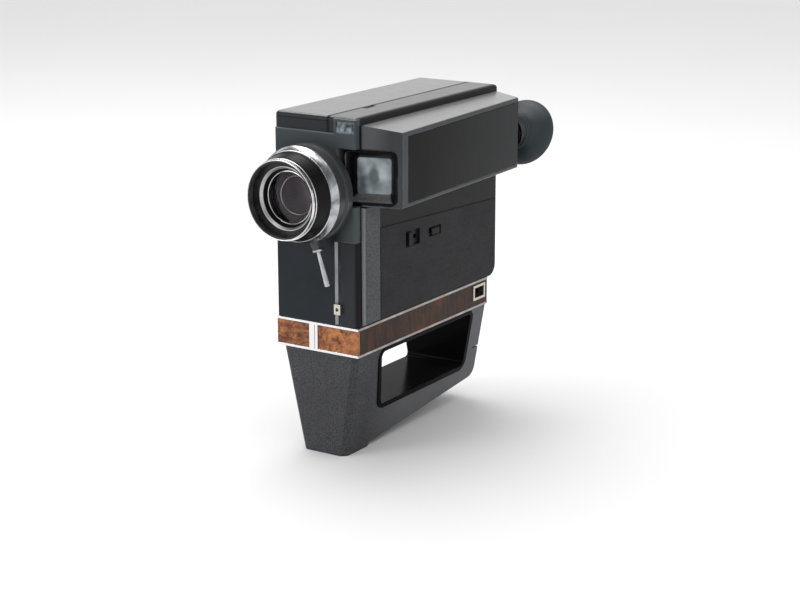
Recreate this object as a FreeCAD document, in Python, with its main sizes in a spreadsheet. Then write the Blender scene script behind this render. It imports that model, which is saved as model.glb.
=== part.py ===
import FreeCAD, Part
import math
import os
import Sketcher

# A sound movie camera with a pistol loop below a wood trimmed band, and a
# viewfinder housing on its side. The origin is the mouth of the tripod socket
# in the foot, the lens looks along -Y, and the viewfinder is on the +X side.

document = FreeCAD.newDocument("MovieCamera")
sheet = document.addObject("Spreadsheet::Sheet", "Sizes")
nodes = []


class Size:
    """A length, angle or count: its formula over the sheet's cells and its value."""

    def __init__(self, formula, value):
        self.formula = formula
        self.value = value

    def __add__(self, other):
        return Size("(%s + %s)" % (self.formula, formula(other)), self.value + value(other))

    def __sub__(self, other):
        return Size("(%s - %s)" % (self.formula, formula(other)), self.value - value(other))

    def __mul__(self, other):
        return Size("(%s * %s)" % (self.formula, formula(other)), self.value * value(other))

    def __truediv__(self, other):
        return Size("(%s / %s)" % (self.formula, formula(other)), self.value / value(other))

    def __radd__(self, other):
        return Size(formula(other), other) + self

    def __rsub__(self, other):
        return Size(formula(other), other) - self

    def __rmul__(self, other):
        return Size(formula(other), other) * self

    def __neg__(self):
        return Size("(0 - %s)" % self.formula, -self.value)


def formula(length):
    return length.formula if isinstance(length, Size) else "(%s)" % float(length)


def value(length):
    return length.value if isinstance(length, Size) else float(length)


def size(name, number):
    """Keeps one driving dimension in the sheet and gives it back as a Size."""
    size.row += 1
    sheet.set("A%d" % size.row, name.replace("_", " "))
    sheet.set("B%d" % size.row, str(number))
    sheet.setAlias("B%d" % size.row, name)
    return Size("Sizes." + name, float(number))


size.row = 0


def tangent(angle):
    return Size("tan(%s)" % formula(angle), math.tan(math.radians(value(angle))))


def sine(angle):
    return Size("sin(%s)" % formula(angle), math.sin(math.radians(value(angle))))


def cosine(angle):
    return Size("cos(%s)" % formula(angle), math.cos(math.radians(value(angle))))


AXES = {"x": "YZ_Plane", "y": "XZ_Plane", "z": "XY_Plane"}


def bind(thing, name, length):
    thing.setExpression(name, formula(length))


def place(thing, x=0, y=0, z=0, about=None, angle=0):
    """Puts a sub-part at bound coordinates, turned by a bound angle about one axis."""
    if about:
        direction = FreeCAD.Vector(*[float(about == name) for name in "xyz"])
        turn = FreeCAD.Rotation(direction, value(angle))
        thing.Placement = FreeCAD.Placement(FreeCAD.Vector(), turn)
        bind(thing, "Placement.Rotation.Angle", angle)
    for name, length in (("x", x), ("y", y), ("z", z)):
        bind(thing, "Placement.Base." + name, length)
    return thing


def keep(name, thing):
    """Names a finished sub-part, which is written to its own file."""
    for form in document.getObjectsByLabel(name):
        form.Label = name + "_form"
    thing.Label = name
    nodes.append(thing)
    return thing


def new_body(name):
    body = document.addObject("PartDesign::Body", name)
    document.recompute()
    return body


def origin_feature(body, role):
    return [item for item in body.Origin.OriginFeatures if item.Role == role][0]


def rectangle(left, right, low, high):
    return [(left, low), (right, low), (right, high), (left, high)]


def centred(across, up, width, height):
    """A rectangle about a middle point."""
    return rectangle(across - width / 2, across + width / 2, up - height / 2, up + height / 2)


class Circle:
    def __init__(self, across, up, radius):
        self.across = across
        self.up = up
        self.radius = radius


def draw_circle(sketch, circle):
    centre = FreeCAD.Vector(value(circle.across), value(circle.up), 0)
    shape = Part.Circle(centre, FreeCAD.Vector(0, 0, 1), value(circle.radius))
    curve = sketch.addGeometry(shape, False)
    for kind, length in (("DistanceX", circle.across), ("DistanceY", circle.up)):
        rule = Sketcher.Constraint(kind, -1, 1, curve, 3, value(length))
        bind(sketch, "Constraints[%d]" % sketch.addConstraint(rule), length)
    rule = Sketcher.Constraint("Radius", curve, value(circle.radius))
    bind(sketch, "Constraints[%d]" % sketch.addConstraint(rule), circle.radius)


def draw_polygon(sketch, points):
    count = len(points)
    corners = [FreeCAD.Vector(value(across), value(up), 0) for across, up in points]
    lines = []
    for index in range(count):
        line = Part.LineSegment(corners[index], corners[(index + 1) % count])
        lines.append(sketch.addGeometry(line, False))
    for index in range(count):
        after = lines[(index + 1) % count]
        sketch.addConstraint(Sketcher.Constraint("Coincident", lines[index], 2, after, 1))
    for line, point in zip(lines, points):
        for kind, length in zip(("DistanceX", "DistanceY"), point):
            rule = Sketcher.Constraint(kind, -1, 1, line, 1, value(length))
            bind(sketch, "Constraints[%d]" % sketch.addConstraint(rule), length)


def draw(body, plane, height, loops):
    """A sketch of circles and straight outlines, at a height along its plane's normal."""
    sketch = body.newObject("Sketcher::SketchObject", "Outline")
    sketch.AttachmentSupport = (origin_feature(body, plane), [""])
    sketch.MapMode = "FlatFace"
    bind(sketch, "AttachmentOffset.Base.z", height)
    for loop in loops:
        if isinstance(loop, Circle):
            draw_circle(sketch, loop)
        else:
            draw_polygon(sketch, loop)
    return sketch


def pad(body, axis, low, high, *loops):
    """Adds outlines that run from low to high along an axis."""
    start = -high if axis == "y" else low
    sketch = draw(body, AXES[axis], start, loops)
    feature = body.newObject("PartDesign::Pad", "Pad")
    feature.Profile = sketch
    bind(feature, "Length", high - low)
    body.Tip = feature
    return feature


def pocket(body, axis, low, high, *loops):
    """Cuts outlines away from low to high along an axis."""
    start = -low if axis == "y" else high
    sketch = draw(body, AXES[axis], start, loops)
    feature = body.newObject("PartDesign::Pocket", "Pocket")
    feature.Profile = sketch
    bind(feature, "Length", high - low)
    body.Tip = feature
    return feature


def along(axis, **where):
    """Picks straight edges along an axis whose middles lie at the given coordinates."""

    def test(edge):
        if edge.Curve.TypeId != "Part::GeomLine":
            return False
        if abs(getattr(edge.Curve.Direction, axis)) < 0.98:
            return False
        middle = edge.CenterOfMass
        return all(abs(getattr(middle, name) - value(at)) < 0.2 for name, at in where.items())

    return test


def soften(body, radius, *tests, kind="Fillet"):
    """Rounds or chamfers the edges that any of the tests picks."""
    document.recompute()
    base = body.Tip
    edges = enumerate(base.Shape.Edges, 1)
    names = ["Edge%d" % number for number, edge in edges if any(test(edge) for test in tests)]
    if not names:
        raise ValueError("no edge to soften in " + body.Label)
    feature = body.newObject("PartDesign::" + kind, kind)
    feature.Base = (base, names)
    bind(feature, "Radius" if kind == "Fillet" else "Size", radius)
    body.Tip = feature
    return feature


def turned(name, axis, points):
    """A body of revolution about its own axis, from (radius, along) points."""
    body = new_body(name)
    if axis == "x":
        sketch = draw(body, "XY_Plane", 0, [[(at, radius) for radius, at in points]])
    else:
        sketch = draw(body, "XY_Plane" if axis == "y" else "XZ_Plane", 0, [points])
    feature = body.newObject("PartDesign::Revolution", "Revolution")
    feature.Profile = sketch
    feature.ReferenceAxis = (origin_feature(body, axis.upper() + "_Axis"), [""])
    body.Tip = feature
    return body


def repeat(body, feature, axis, count):
    """Repeats one feature evenly round an axis."""
    pattern = body.newObject("PartDesign::PolarPattern", "Pattern")
    pattern.Originals = [feature]
    pattern.Axis = (origin_feature(body, axis), [""])
    pattern.Angle = 360
    pattern.Occurrences = count
    body.Tip = pattern


def tube(name, axis, bore, radius, low, high):
    return turned(name, axis, [(bore, low), (radius, low), (radius, high), (bore, high)])


def rod(name, axis, radius, low, high):
    return turned(name, axis, [(0, low), (radius, low), (radius, high), (0, high)])


def cut(base, *tools):
    """One solid less others, with the tools gathered first where there are several."""
    result = document.addObject("Part::Cut", "Cut")
    result.Base = base
    result.Tool = tools[0] if len(tools) == 1 else fuse(*tools)
    return result


def fuse(*shapes):
    result = document.addObject("Part::MultiFuse", "Fuse")
    result.Shapes = list(shapes)
    return result


def common(*shapes):
    result = document.addObject("Part::MultiCommon", "Common")
    result.Shapes = list(shapes)
    return result


def group(name, *shapes):
    """Like pieces in one node, as separate solids."""
    result = document.addObject("Part::Compound", name)
    result.Links = list(shapes)
    return keep(name, result)


def prism(name, axis, low, high, *loops):
    body = new_body(name)
    pad(body, axis, low, high, *loops)
    return body


def block(name, left, right, near, far, low, high):
    return prism(name, "z", low, high, rectangle(left, right, near, far))


# Overall form
body_width = size("body_width", 66)
body_length = size("body_length", 180)
body_height = size("body_height", 140.6)
band_height = size("band_height", 20)
handle_height = size("handle_height", 74)
front_reach = size("front_reach", 19)
wall = size("wall", 2)
front_wall = size("front_wall", 3)
corner_round = size("front_corner_radius", 4)
heel_round = size("rear_heel_radius", 8)
heel_cut = size("inner_heel_cut", 3.2)
top_round = size("top_edge_radius", 2.8)
gap = size("gap", 0.3)
fit = size("running_fit", 0.05)
over = size("cut_margin", 1)

half = body_width / 2
front = -front_reach
rear = body_length - front_reach
band_low = handle_height
body_low = band_low + band_height
body_top = body_low + body_height
floor = body_low + wall
roof = body_top - wall
inner_right = half - wall
inner_front = front + front_wall
inner_rear = rear - wall

# Lens, on an axis along Y
lens_shift = size("lens_shift", 1.3)
lens_drop = size("lens_drop", 50.6)
thread_radius = size("filter_thread_radius", 24.5)
rim_radius = size("lens_rim_radius", 26.5)
rim_depth = size("lens_rim_depth", 4)
grip_small = size("focus_grip_small_radius", 27.2)
grip_large = size("focus_grip_large_radius", 29.8)
grip_length = size("focus_grip_length", 11)
grip_step = size("focus_grip_step", 0.6)
scale_large = size("scale_ring_large_radius", 32.4)
scale_length = size("scale_ring_length", 6.3)
lens_base = size("lens_base_radius", 32.6)
zoom_length = size("zoom_ring_length", 8)
flange_length = size("lens_flange_length", 6)
ring_bevel = size("lens_ring_bevel", 0.7)
plate_depth = size("front_plate_depth", 2)
barrel_radius = size("lens_barrel_radius", 23)
barrel_bore = size("lens_barrel_bore", 19)
tail_radius = size("lens_tail_radius", 18.4)
tail_bore = size("lens_tail_bore", 16.4)
tail_mouth = size("lens_tail_mouth_radius", 7)
cone_radius = size("lens_cone_radius", 25.2)
cone_recess = size("lens_cone_recess", 1.2)
cone_flange = size("lens_cone_flange", 1.2)
cone_length = size("lens_cone_length", 8)
cone_ring = size("lens_cone_ring_radius", 21)
cone_ring_place = size("lens_cone_ring_place", 3)
cone_mouth = size("lens_cone_mouth_radius", 17.3)
cone_skin = size("lens_cone_skin", 0.8)
front_glass_thick = size("front_glass_thickness", 4)
front_glass_crown = size("front_glass_crown", 2.4)
zoom_group_place = size("zoom_group_place", 17)
zoom_group_thick = size("zoom_group_thickness", 3.4)
zoom_group_radius = size("zoom_group_radius", 12.3)
rear_group_thick = size("rear_group_thickness", 4)
iris_place = size("iris_place", 4)
iris_thick = size("iris_thickness", 1)
iris_hole = size("iris_hole_radius", 4)
lever_lean = size("zoom_lever_lean", 17.5)
lever_reach = size("zoom_lever_reach", 30.4)
lever_neck = size("zoom_lever_neck", 5)
lever_tip_radius = size("zoom_lever_tip_radius", 1.9)
lever_root_radius = size("zoom_lever_root_radius", 1.2)
lever_head_half = size("zoom_lever_head_half_width", 3.4)
lever_head_tall = size("zoom_lever_head_height", 1.6)
boss_half = size("zoom_boss_half_width", 4)

plate_face = front - plate_depth
flange_end = plate_face - flange_length
zoom_far = flange_end - gap
zoom_end = zoom_far - zoom_length
zoom_middle = zoom_end + zoom_length / 2
scale_start = zoom_end - gap
scale_end = scale_start - scale_length
grip_end = scale_end - grip_length
rim_end = grip_end - rim_depth
cone_start = grip_end + cone_recess
cone_seat = cone_start + cone_flange
cone_end = grip_end + cone_length
ring_bore = barrel_radius + fit
lens_x = -lens_shift
lens_z = body_top - lens_drop

# Film chamber, door and mechanism
seam = size("door_seam_place", 10.5)
hinge_inset = size("hinge_inset", 2.5)
knuckle_radius = size("hinge_knuckle_radius", 2.4)
hinge_pin_radius = size("hinge_pin_radius", 0.8)
door_corner = size("door_rear_corner_radius", 3)
knuckle_count = 3
chamber_front = size("chamber_front_place", 36)
chamber_length = size("chamber_length", 94)
chamber_wall = size("chamber_wall", 1.5)
chamber_back = size("chamber_back_place", 12)
liner_drop = size("chamber_liner_drop", 2)
gate_width = size("gate_opening_width", 12)
gate_height = size("gate_opening_height", 18)
plate_thick = size("mechanism_plate_thickness", 1.5)
bracket_place = size("motor_bracket_place", 24)
bracket_thick = size("motor_bracket_thickness", 2)
pressure_depth = size("pressure_pad_depth", 15.5)
pressure_wall = size("pressure_pad_wall", 1.5)
pressure_near = size("pressure_pad_place", 72)
pressure_length = size("pressure_pad_length", 30)
pressure_height = size("pressure_pad_height", 40)
pressure_drop = size("pressure_pad_drop", 8)

hinge_x = -half + hinge_inset
hinge_y = rear - hinge_inset
knuckle_room = knuckle_radius + gap
chamber_gate = chamber_front + wall
chamber_rear = chamber_front + chamber_length
chamber_top = roof - chamber_wall
lip_low = chamber_top + gap
liner_left = -half + wall + gap * 2
liner_rear = hinge_y - knuckle_room - gap
plate_back = chamber_back + plate_thick
chamber_inner = chamber_back - chamber_wall

# Door latch, a slide in a notch of the roof beside the seam
latch_near = size("latch_place", 21)
latch_length = size("latch_length", 7)
latch_travel = size("latch_travel", 4)
latch_width = size("latch_width", 3.4)
latch_room = size("latch_room", 1.2)
hook_length = size("latch_hook_length", 3)
hook_thick = size("latch_hook_thickness", 1.5)
hook_reach = size("latch_hook_reach", 3.7)
lug_drop = size("door_lug_drop", 1.8)
lug_thick = size("door_lug_thickness", 1.4)
lug_inset = size("door_lug_inset", 0.8)
groove = size("latch_groove", 0.9)

latch_left = seam + gap
latch_right = latch_left + latch_width
latch_far = latch_near + latch_length
hook_near = latch_far - hook_length
hook_top = roof - lug_drop + latch_room
hook_low = roof - lug_drop - latch_room - hook_thick

# Viewfinder housing on the right side
finder_out = size("finder_width", 27)
finder_sweep = size("finder_sweep_angle", 16)
finder_front = size("finder_front_setback", 5.7)
finder_taper = size("finder_taper_angle", 2.3)
finder_length = size("finder_length", 174.3)
finder_rear_setback = size("finder_rear_setback", 2.6)
finder_height = size("finder_height", 53.5)
finder_drop = size("finder_top_drop", 5.1)
finder_slope = size("finder_top_slope", 7.5)
finder_wall = size("finder_wall", 2.2)
finder_rear_round = size("finder_rear_corner_radius", 2.5)
finder_edge_round = size("finder_long_edge_radius", 1.2)
finder_axis_out = size("finder_axis_place", 7)
finder_axis_drop = size("finder_axis_drop", 35.1)
hood_out = size("hood_place", 6.2)
hood_drop = size("hood_drop", 39.1)
hood_width = size("hood_width", 35.5)
hood_height = size("hood_height", 36.5)
hood_depth = size("hood_depth", 11)
hood_round = size("hood_corner_radius", 4.5)
hood_proud = size("hood_proud", 0.8)
funnel_width = size("funnel_mouth_width", 31)
funnel_height = size("funnel_mouth_height", 32.5)
funnel_depth = size("funnel_depth", 7.5)
funnel_taper = size("funnel_taper_angle", 28.5)
window_thick = size("window_thickness", 1.5)
window_rebate = size("window_rebate", 0.8)
hood_back_thick = size("hood_back_thickness", 1.2)
plate_setback = size("side_plate_front_margin", 6.4)
plate_rear_margin = size("side_plate_rear_margin", 1.5)
plate_low_margin = size("side_plate_low_margin", 2.5)
plate_high_margin = size("side_plate_high_margin", 3)
plate_corner = size("side_plate_corner_radius", 3.6)
plate_recess = size("side_plate_recess", 0.9)
side_plate_thick = size("side_plate_thickness", 0.8)
side_plate_gap = size("side_plate_gap", 0.2)
relay_radius = size("relay_tube_radius", 6.5)
relay_bore = size("relay_tube_bore", 5.3)
relay_start = size("relay_tube_start", 24)
eyepiece_radius = size("eyepiece_radius", 12)
eyepiece_bore = size("eyepiece_bore", 9)
eyepiece_length = size("eyepiece_length", 17.5)
eyepiece_floor = size("eyepiece_floor", 2)
eye_lens_place = size("eye_lens_place", 5)
eye_lens_thick = size("eye_lens_thickness", 5.5)
eye_lens_crown = size("eye_lens_crown", 1.5)
sight_lens_thick = size("sight_lens_thickness", 2.5)
dioptre_radius = size("dioptre_ring_radius", 13.6)
dioptre_place = size("dioptre_ring_place", 1.2)
dioptre_length = size("dioptre_ring_length", 6.3)
cup_neck_place = size("eyecup_neck_place", 8.5)
cup_neck_thick = size("eyecup_neck_thickness", 1.6)
cup_place = size("eyecup_bowl_place", 19.1)
cup_radius = size("eyecup_radius", 24.3)
cup_depth = size("eyecup_depth", 8.6)
cup_lip = size("eyecup_lip", 1.8)
cup_skin = size("eyecup_skin", 1.7)
cup_foot = size("eyecup_foot_width", 2.6)
cup_lean = size("eyecup_lean_angle", -22)

finder_x = half + finder_axis_out
finder_z = body_top - finder_axis_drop
finder_high = body_top - finder_drop
finder_low = finder_high - finder_height
finder_near = front + finder_front
finder_side = half + finder_out
finder_corner_y = finder_near + finder_out * tangent(finder_sweep)
finder_back = finder_near + finder_length
finder_back_corner = finder_back - finder_rear_setback
finder_inset = finder_length * tangent(finder_taper)
finder_fall = finder_out * tangent(finder_slope)
hood_x = half + hood_out
hood_y = finder_near + hood_out * tangent(finder_sweep)
hood_z = body_top - hood_drop

# Front plate, with the niche of the viewfinder window and the light meter's window
plate_inset = size("front_plate_inset", 2)
plate_low_inset = size("front_plate_low_inset", 1)
plate_round = size("front_plate_edge_radius", 1.2)
plate_side_round = size("front_plate_side_radius", 2)
lower_edge = size("lower_plate_edge", 19)
lower_slope = size("lower_plate_slope", 3.4)
split_drop = size("front_split_drop", 23.5)
niche_left = size("niche_left_place", 19.6)
niche_margin = size("niche_margin", 0.9)
niche_depth = size("niche_depth", 9.5)
niche_flank = size("niche_flank", 4.6)
niche_wall = size("niche_wall", 1.2)
niche_bevel = size("niche_bevel", 1.2)
meter_left = size("meter_block_place", 15.7)
meter_drop = size("meter_block_height", 10.6)
meter_top_drop = size("meter_block_top_drop", 0.9)
pane_left_margin = size("meter_pane_left_margin", 2.3)
pane_right_margin = size("meter_pane_right_margin", 1)
pane_low_margin = size("meter_pane_low_margin", 0.6)
pane_high_drop = size("meter_pane_high_drop", 2.7)
pane_lean = size("meter_pane_lean", 0.9)
neck_left_margin = size("meter_neck_left_margin", 2)
neck_right_margin = size("meter_neck_right_margin", 4)
photocell_radius = size("photocell_radius", 3.2)
photocell_length = size("photocell_length", 6)
remote_place = size("remote_socket_place", 18.2)
remote_rise = size("remote_socket_rise", 12.1)
remote_width = size("remote_bezel_width", 5)
remote_height = size("remote_bezel_height", 7)
remote_bore = size("remote_socket_bore", 1.25)
remote_proud = size("remote_bezel_proud", 0.8)
remote_depth = size("remote_socket_depth", 3)

niche_low = hood_z - hood_height / 2 - niche_margin
niche_high = hood_z + hood_height / 2 + niche_margin
niche_back = front + niche_depth
niche_outline = [(niche_left, front - over), (half + over, front - over), (half + over, niche_back),
                 (niche_left + niche_flank, niche_back), (niche_left, front)]
split = finder_low - split_drop
meter_low = body_top - meter_drop
meter_top = body_top - meter_top_drop
pane_left = meter_left + pane_left_margin
pane_right = half - pane_right_margin
pane_low = meter_low + pane_low_margin
pane_high = body_top - pane_high_drop
neck_left = pane_left + neck_left_margin
neck_right = pane_right - neck_right_margin
remote_z = body_low + remote_rise

# Right side: raised panel, grip rib, filter switch and battery check button
panel_near = size("side_panel_front_place", 27)
panel_low_margin = size("side_panel_low_margin", 2)
panel_rear_margin = size("side_panel_rear_margin", 1)
panel_heel = size("side_panel_heel", 7)
panel_front_drop = size("side_panel_front_drop", 18.3)
panel_rear_drop = size("side_panel_rear_drop", 25)
panel_thick = size("side_panel_thickness", 0.6)
rib_near = size("grip_rib_place", 5)
rib_length = size("grip_rib_length", 19)
rib_thick = size("grip_rib_thickness", 3)
rib_round = size("grip_rib_radius", 2)
rib_low_margin = size("grip_rib_low_margin", 1.6)
rib_top_gap = size("grip_rib_top_gap", 1)
filter_near = size("filter_recess_place", 38.8)
filter_length = size("filter_recess_length", 17.7)
filter_drop = size("filter_recess_drop", 38)
filter_tall = size("filter_recess_height", 11)
filter_travel = size("filter_travel", 8)
filter_key_length = size("filter_key_length", 5)
filter_key_proud = size("filter_key_proud", 1.8)
filter_slot_margin = size("filter_slot_margin", 2.05)
filter_slot_tall = size("filter_slot_height", 2.6)
filter_tongue = size("filter_tongue_length", 3)
recess_depth = size("recess_depth", 1.2)
check_near = size("check_recess_place", 68)
check_length = size("check_recess_length", 16)
check_drop = size("check_recess_drop", 36.2)
check_tall = size("check_recess_height", 6.5)
check_travel = size("check_travel", 1)
check_key_length = size("check_key_length", 10)
check_key_tall = size("check_key_height", 4.4)
check_key_proud = size("check_key_proud", 1.4)
check_stem_radius = size("check_stem_radius", 1.45)
key_round = size("key_edge_radius", 0.5)

filter_low = finder_low - filter_drop
filter_mid = filter_low + filter_tall / 2
filter_slot_near = filter_near + filter_slot_margin
filter_slot_far = filter_slot_near + filter_key_length + filter_travel + gap * 2
check_low = finder_low - check_drop
check_mid = check_low + check_tall / 2
check_middle_y = check_near + check_length / 2
recess_floor = half - recess_depth
filter_recess = rectangle(filter_near, filter_near + filter_length, filter_low, filter_low + filter_tall)
check_recess = rectangle(check_near, check_near + check_length, check_low, check_low + check_tall)


def knuckle_bands():
    """The bands of the hinge, which the door and the shell share in turn."""
    step = (lip_low - gap - floor) / knuckle_count
    return [(floor + step * index, floor + step * (index + 1)) for index in range(knuckle_count)]


def outer_block(name):
    """The body's outside, with its rounded heel, front corners and top edges."""
    body = new_body(name)
    pad(body, "x", -half, half, rectangle(front, rear, body_low, body_top))
    soften(body, heel_round, along("x", y=rear, z=body_low))
    soften(body, corner_round, along("z", x=half, y=front), along("z", x=-half, y=front))
    soften(body, top_round, along("x", z=body_top))
    return body


def hood_space(name):
    """The room that the window hood takes, with its clearance, turned with the sweep."""
    space = new_body(name)
    pad(space, "y", -hood_proud - over * 4, hood_depth + gap,
        centred(0, 0, hood_width + gap * 2, hood_height + gap * 2))
    soften(space, hood_round + gap, along("y"))
    return place(space, hood_x, hood_y, hood_z, "z", finder_sweep)


def make_body_shell():
    body = outer_block("ShellForm")
    pocket(body, "x", -half - over, inner_right,
           [(inner_front, floor), (inner_rear - heel_cut, floor), (inner_rear, floor + heel_cut),
            (inner_rear, roof), (inner_front, roof)])
    pocket(body, "z", lip_low - gap, body_top + over,
           rectangle(-half - over, seam + gap, front - over, rear + over))
    pocket(body, "x", -half - over, -half + wall + gap,
           rectangle(inner_front, rear + over, floor, body_top + over))
    pocket(body, "z", floor, body_top + over,
           rectangle(-half - over, hinge_x + knuckle_room, hinge_y - knuckle_room, rear + over))
    for low, high in knuckle_bands()[1::2]:
        pad(body, "z", low + gap, high - gap, Circle(hinge_x, hinge_y, knuckle_radius))
        pad(body, "z", low + gap, high - gap,
            rectangle(hinge_x, hinge_x + knuckle_room + over, inner_rear, rear - fit))
    pocket(body, "z", floor, roof, Circle(hinge_x, hinge_y, hinge_pin_radius))
    pocket(body, "y", front - over, inner_front + over, Circle(lens_x, lens_z, tail_radius + fit))
    pocket(body, "z", niche_low, niche_high, niche_outline)
    pocket(body, "y", front - over, inner_front + over, rectangle(neck_left, neck_right, pane_low, pane_high))
    pocket(body, "x", recess_floor, half + over, filter_recess, check_recess)
    pocket(body, "x", inner_right - over, half + over,
           rectangle(filter_slot_near, filter_slot_far,
                     filter_mid - filter_slot_tall / 2, filter_mid + filter_slot_tall / 2),
           Circle(check_middle_y, check_mid, check_stem_radius + fit))
    pocket(body, "y", front - over, inner_front + over,
           Circle(remote_place, remote_z, remote_width / 2 + fit))
    pocket(body, "z", roof - over, body_top + over,
           rectangle(seam, latch_right + gap, latch_near - gap, latch_far + latch_travel + gap))
    tray = new_body("NicheForm")
    pad(tray, "y", inner_front, niche_back + niche_wall,
        rectangle(niche_left - niche_wall, inner_right, niche_low - niche_wall, niche_high + niche_wall))
    pocket(tray, "z", niche_low, niche_high, niche_outline)
    return keep("body_shell", cut(fuse(body, tray), hood_space("ShellHoodRoom")))


def make_film_door():
    body = new_body("film_door")
    pad(body, "z", roof, body_top, rectangle(-half, seam, front, rear))
    pad(body, "z", lip_low, roof,
        [(-half, front), (seam, front), (seam, inner_front), (-half + wall, inner_front),
         (-half + wall, inner_rear), (seam, inner_rear), (seam, rear), (-half, rear)])
    soften(body, corner_round, along("z", x=-half, y=front))
    soften(body, door_corner, along("z", x=-half, y=rear))
    soften(body, top_round, along("x", y=front, z=body_top))
    pad(body, "x", -half, -half + wall, rectangle(inner_front + gap, hinge_y, floor + gap, roof))
    for low, high in knuckle_bands()[1::2]:
        pocket(body, "z", low, high,
               rectangle(-half - over, hinge_x, hinge_y - knuckle_room, rear + over))
    for low, high in knuckle_bands()[0::2]:
        pad(body, "z", low + gap, high, Circle(hinge_x, hinge_y, knuckle_radius))
    pocket(body, "z", floor, roof - fit, Circle(hinge_x, hinge_y, hinge_pin_radius + fit))
    lug_right = seam - lug_inset
    pad(body, "z", roof - lug_drop, roof,
        rectangle(lug_right - lug_thick, lug_right, hook_near, latch_far))
    inner = -half + wall
    middle_y = pressure_near + pressure_length / 2
    middle_z = lens_z - pressure_drop
    pad(body, "x", inner, inner + pressure_depth,
        centred(middle_y, middle_z, pressure_length, pressure_height))
    pocket(body, "x", inner, inner + pressure_depth - pressure_wall,
           centred(middle_y, middle_z, pressure_length - pressure_wall * 2,
                   pressure_height - pressure_wall * 2))
    return keep("film_door", body)


def make_door_hinge_pin():
    pin = rod("door_hinge_pin", "z", hinge_pin_radius, floor, roof - gap)
    return keep("door_hinge_pin", place(pin, hinge_x, hinge_y))


def make_door_latch():
    """A slide on the roof, whose hook holds the lug under the door's top."""
    body = new_body("door_latch")
    left = latch_left + gap
    top = body_top + gap
    hook_left = seam - lug_inset - hook_reach
    pad(body, "z", roof - wall, top, rectangle(left, latch_right, latch_near, latch_far))
    pad(body, "z", hook_low, roof - wall, rectangle(left, latch_right, hook_near, latch_far))
    pad(body, "z", hook_low, hook_low + hook_thick, rectangle(hook_left, left, hook_near, latch_far))
    pad(body, "z", hook_low + hook_thick, hook_top,
        rectangle(hook_left, hook_left + hook_thick, hook_near, latch_far))
    for index in range(3):
        near = latch_near + latch_length / 2 + groove * (index * 2 - 2)
        pocket(body, "z", top - groove / 2, top + over,
               rectangle(left - over, latch_right + over, near, near + groove))
    return keep("door_latch", body)


def make_film_chamber():
    body = new_body("film_chamber")
    pad(body, "x", liner_left, chamber_back, rectangle(chamber_front, chamber_rear, floor, chamber_top))
    pocket(body, "x", liner_left - over, chamber_inner,
           rectangle(chamber_gate, chamber_rear - chamber_wall, floor + chamber_wall, chamber_top + over))
    pad(body, "x", liner_left, liner_left + chamber_wall,
        rectangle(inner_front + gap, chamber_front, floor, chamber_top - liner_drop),
        rectangle(chamber_rear, liner_rear, floor, chamber_top))
    pocket(body, "y", chamber_front - over, chamber_gate + over,
           centred(lens_x, lens_z, gate_width, gate_height))
    pocket(body, "x", chamber_inner - over, chamber_back + over,
           Circle(capstan_y, capstan_z, capstan_radius + fit),
           Circle(roller_y, capstan_z, roller_pin_radius + fit),
           Circle(spindle_y, spindle_z, spindle_radius + fit))
    return keep("film_chamber", body)


# Gears: one module, and counts of teeth
module = size("gear_module", 1)
pinion_teeth = 10
shutter_teeth = 30
capstan_teeth = 16
idler_teeth = 18
spindle_teeth = 32
gear_width = size("gear_width", 2.5)
gear_clear = size("gear_side_clearance", 1)
tooth_depth = size("gear_tooth_depth_in_modules", 1.25)
tooth_foot = size("gear_tooth_foot_in_modules", 0.88)
tooth_tip = size("gear_tooth_tip_in_modules", 0.34)
shutter_x = size("shutter_shaft_place", 2)
shutter_drop = size("shutter_shaft_drop", 21)
shutter_radius = size("shutter_radius", 26)
shutter_shaft = size("shutter_shaft_radius", 1.5)
shutter_thick = size("shutter_thickness", 0.8)
shutter_hub = size("shutter_hub_radius", 4)
shutter_step = size("shutter_step", 1.5)
shutter_closing = size("shutter_closing_angle", 30)
capstan_y = size("capstan_place", 48)
capstan_rise = size("capstan_rise", 36)
capstan_radius = size("capstan_radius", 1.6)
capstan_start = size("capstan_start", 7)
spindle_radius = size("spindle_shaft_radius", 2)
hub_radius = size("spindle_hub_radius", 3.4)
hub_nose = size("spindle_nose_radius", 2.6)
hub_start = size("spindle_start", 3)
fin_radius = size("spindle_fin_radius", 4.6)
fin_thick = size("spindle_fin_thickness", 1.4)
train_angle = size("gear_train_angle", 44)
flywheel_radius = size("flywheel_radius", 14)
flywheel_thick = size("flywheel_thickness", 3.5)
flywheel_step = size("flywheel_step", 1.5)
flat_motor_radius = size("capstan_motor_radius", 11)
idler_pin_radius = size("idler_pin_radius", 1.5)
roller_radius = size("pinch_roller_radius", 5)
roller_width = size("pinch_roller_width", 10)
roller_gap = size("pinch_roller_gap", 0.5)
roller_pin_radius = size("pinch_roller_pin_radius", 1.2)
motor_radius = size("motor_radius", 8.6)
motor_length = size("motor_length", 33)
motor_nose = size("motor_bearing_radius", 3)
motor_nose_length = size("motor_bearing_length", 1.5)
motor_shaft = size("motor_shaft_radius", 1)
motor_shaft_depth = size("motor_shaft_depth", 8)
post_width = size("mechanism_post_width", 5)
post_inset = size("mechanism_post_inset", 6)
relief_near = size("mechanism_relief_place", 30)
relief_far = size("mechanism_relief_margin", 20)
relief_low = size("mechanism_relief_drop", 40)
relief_high = size("mechanism_relief_top", 12)
bracket_left = size("motor_bracket_left", 26)
bracket_low = size("motor_bracket_drop", 30)
bracket_high = size("motor_bracket_rise", 28)

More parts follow.
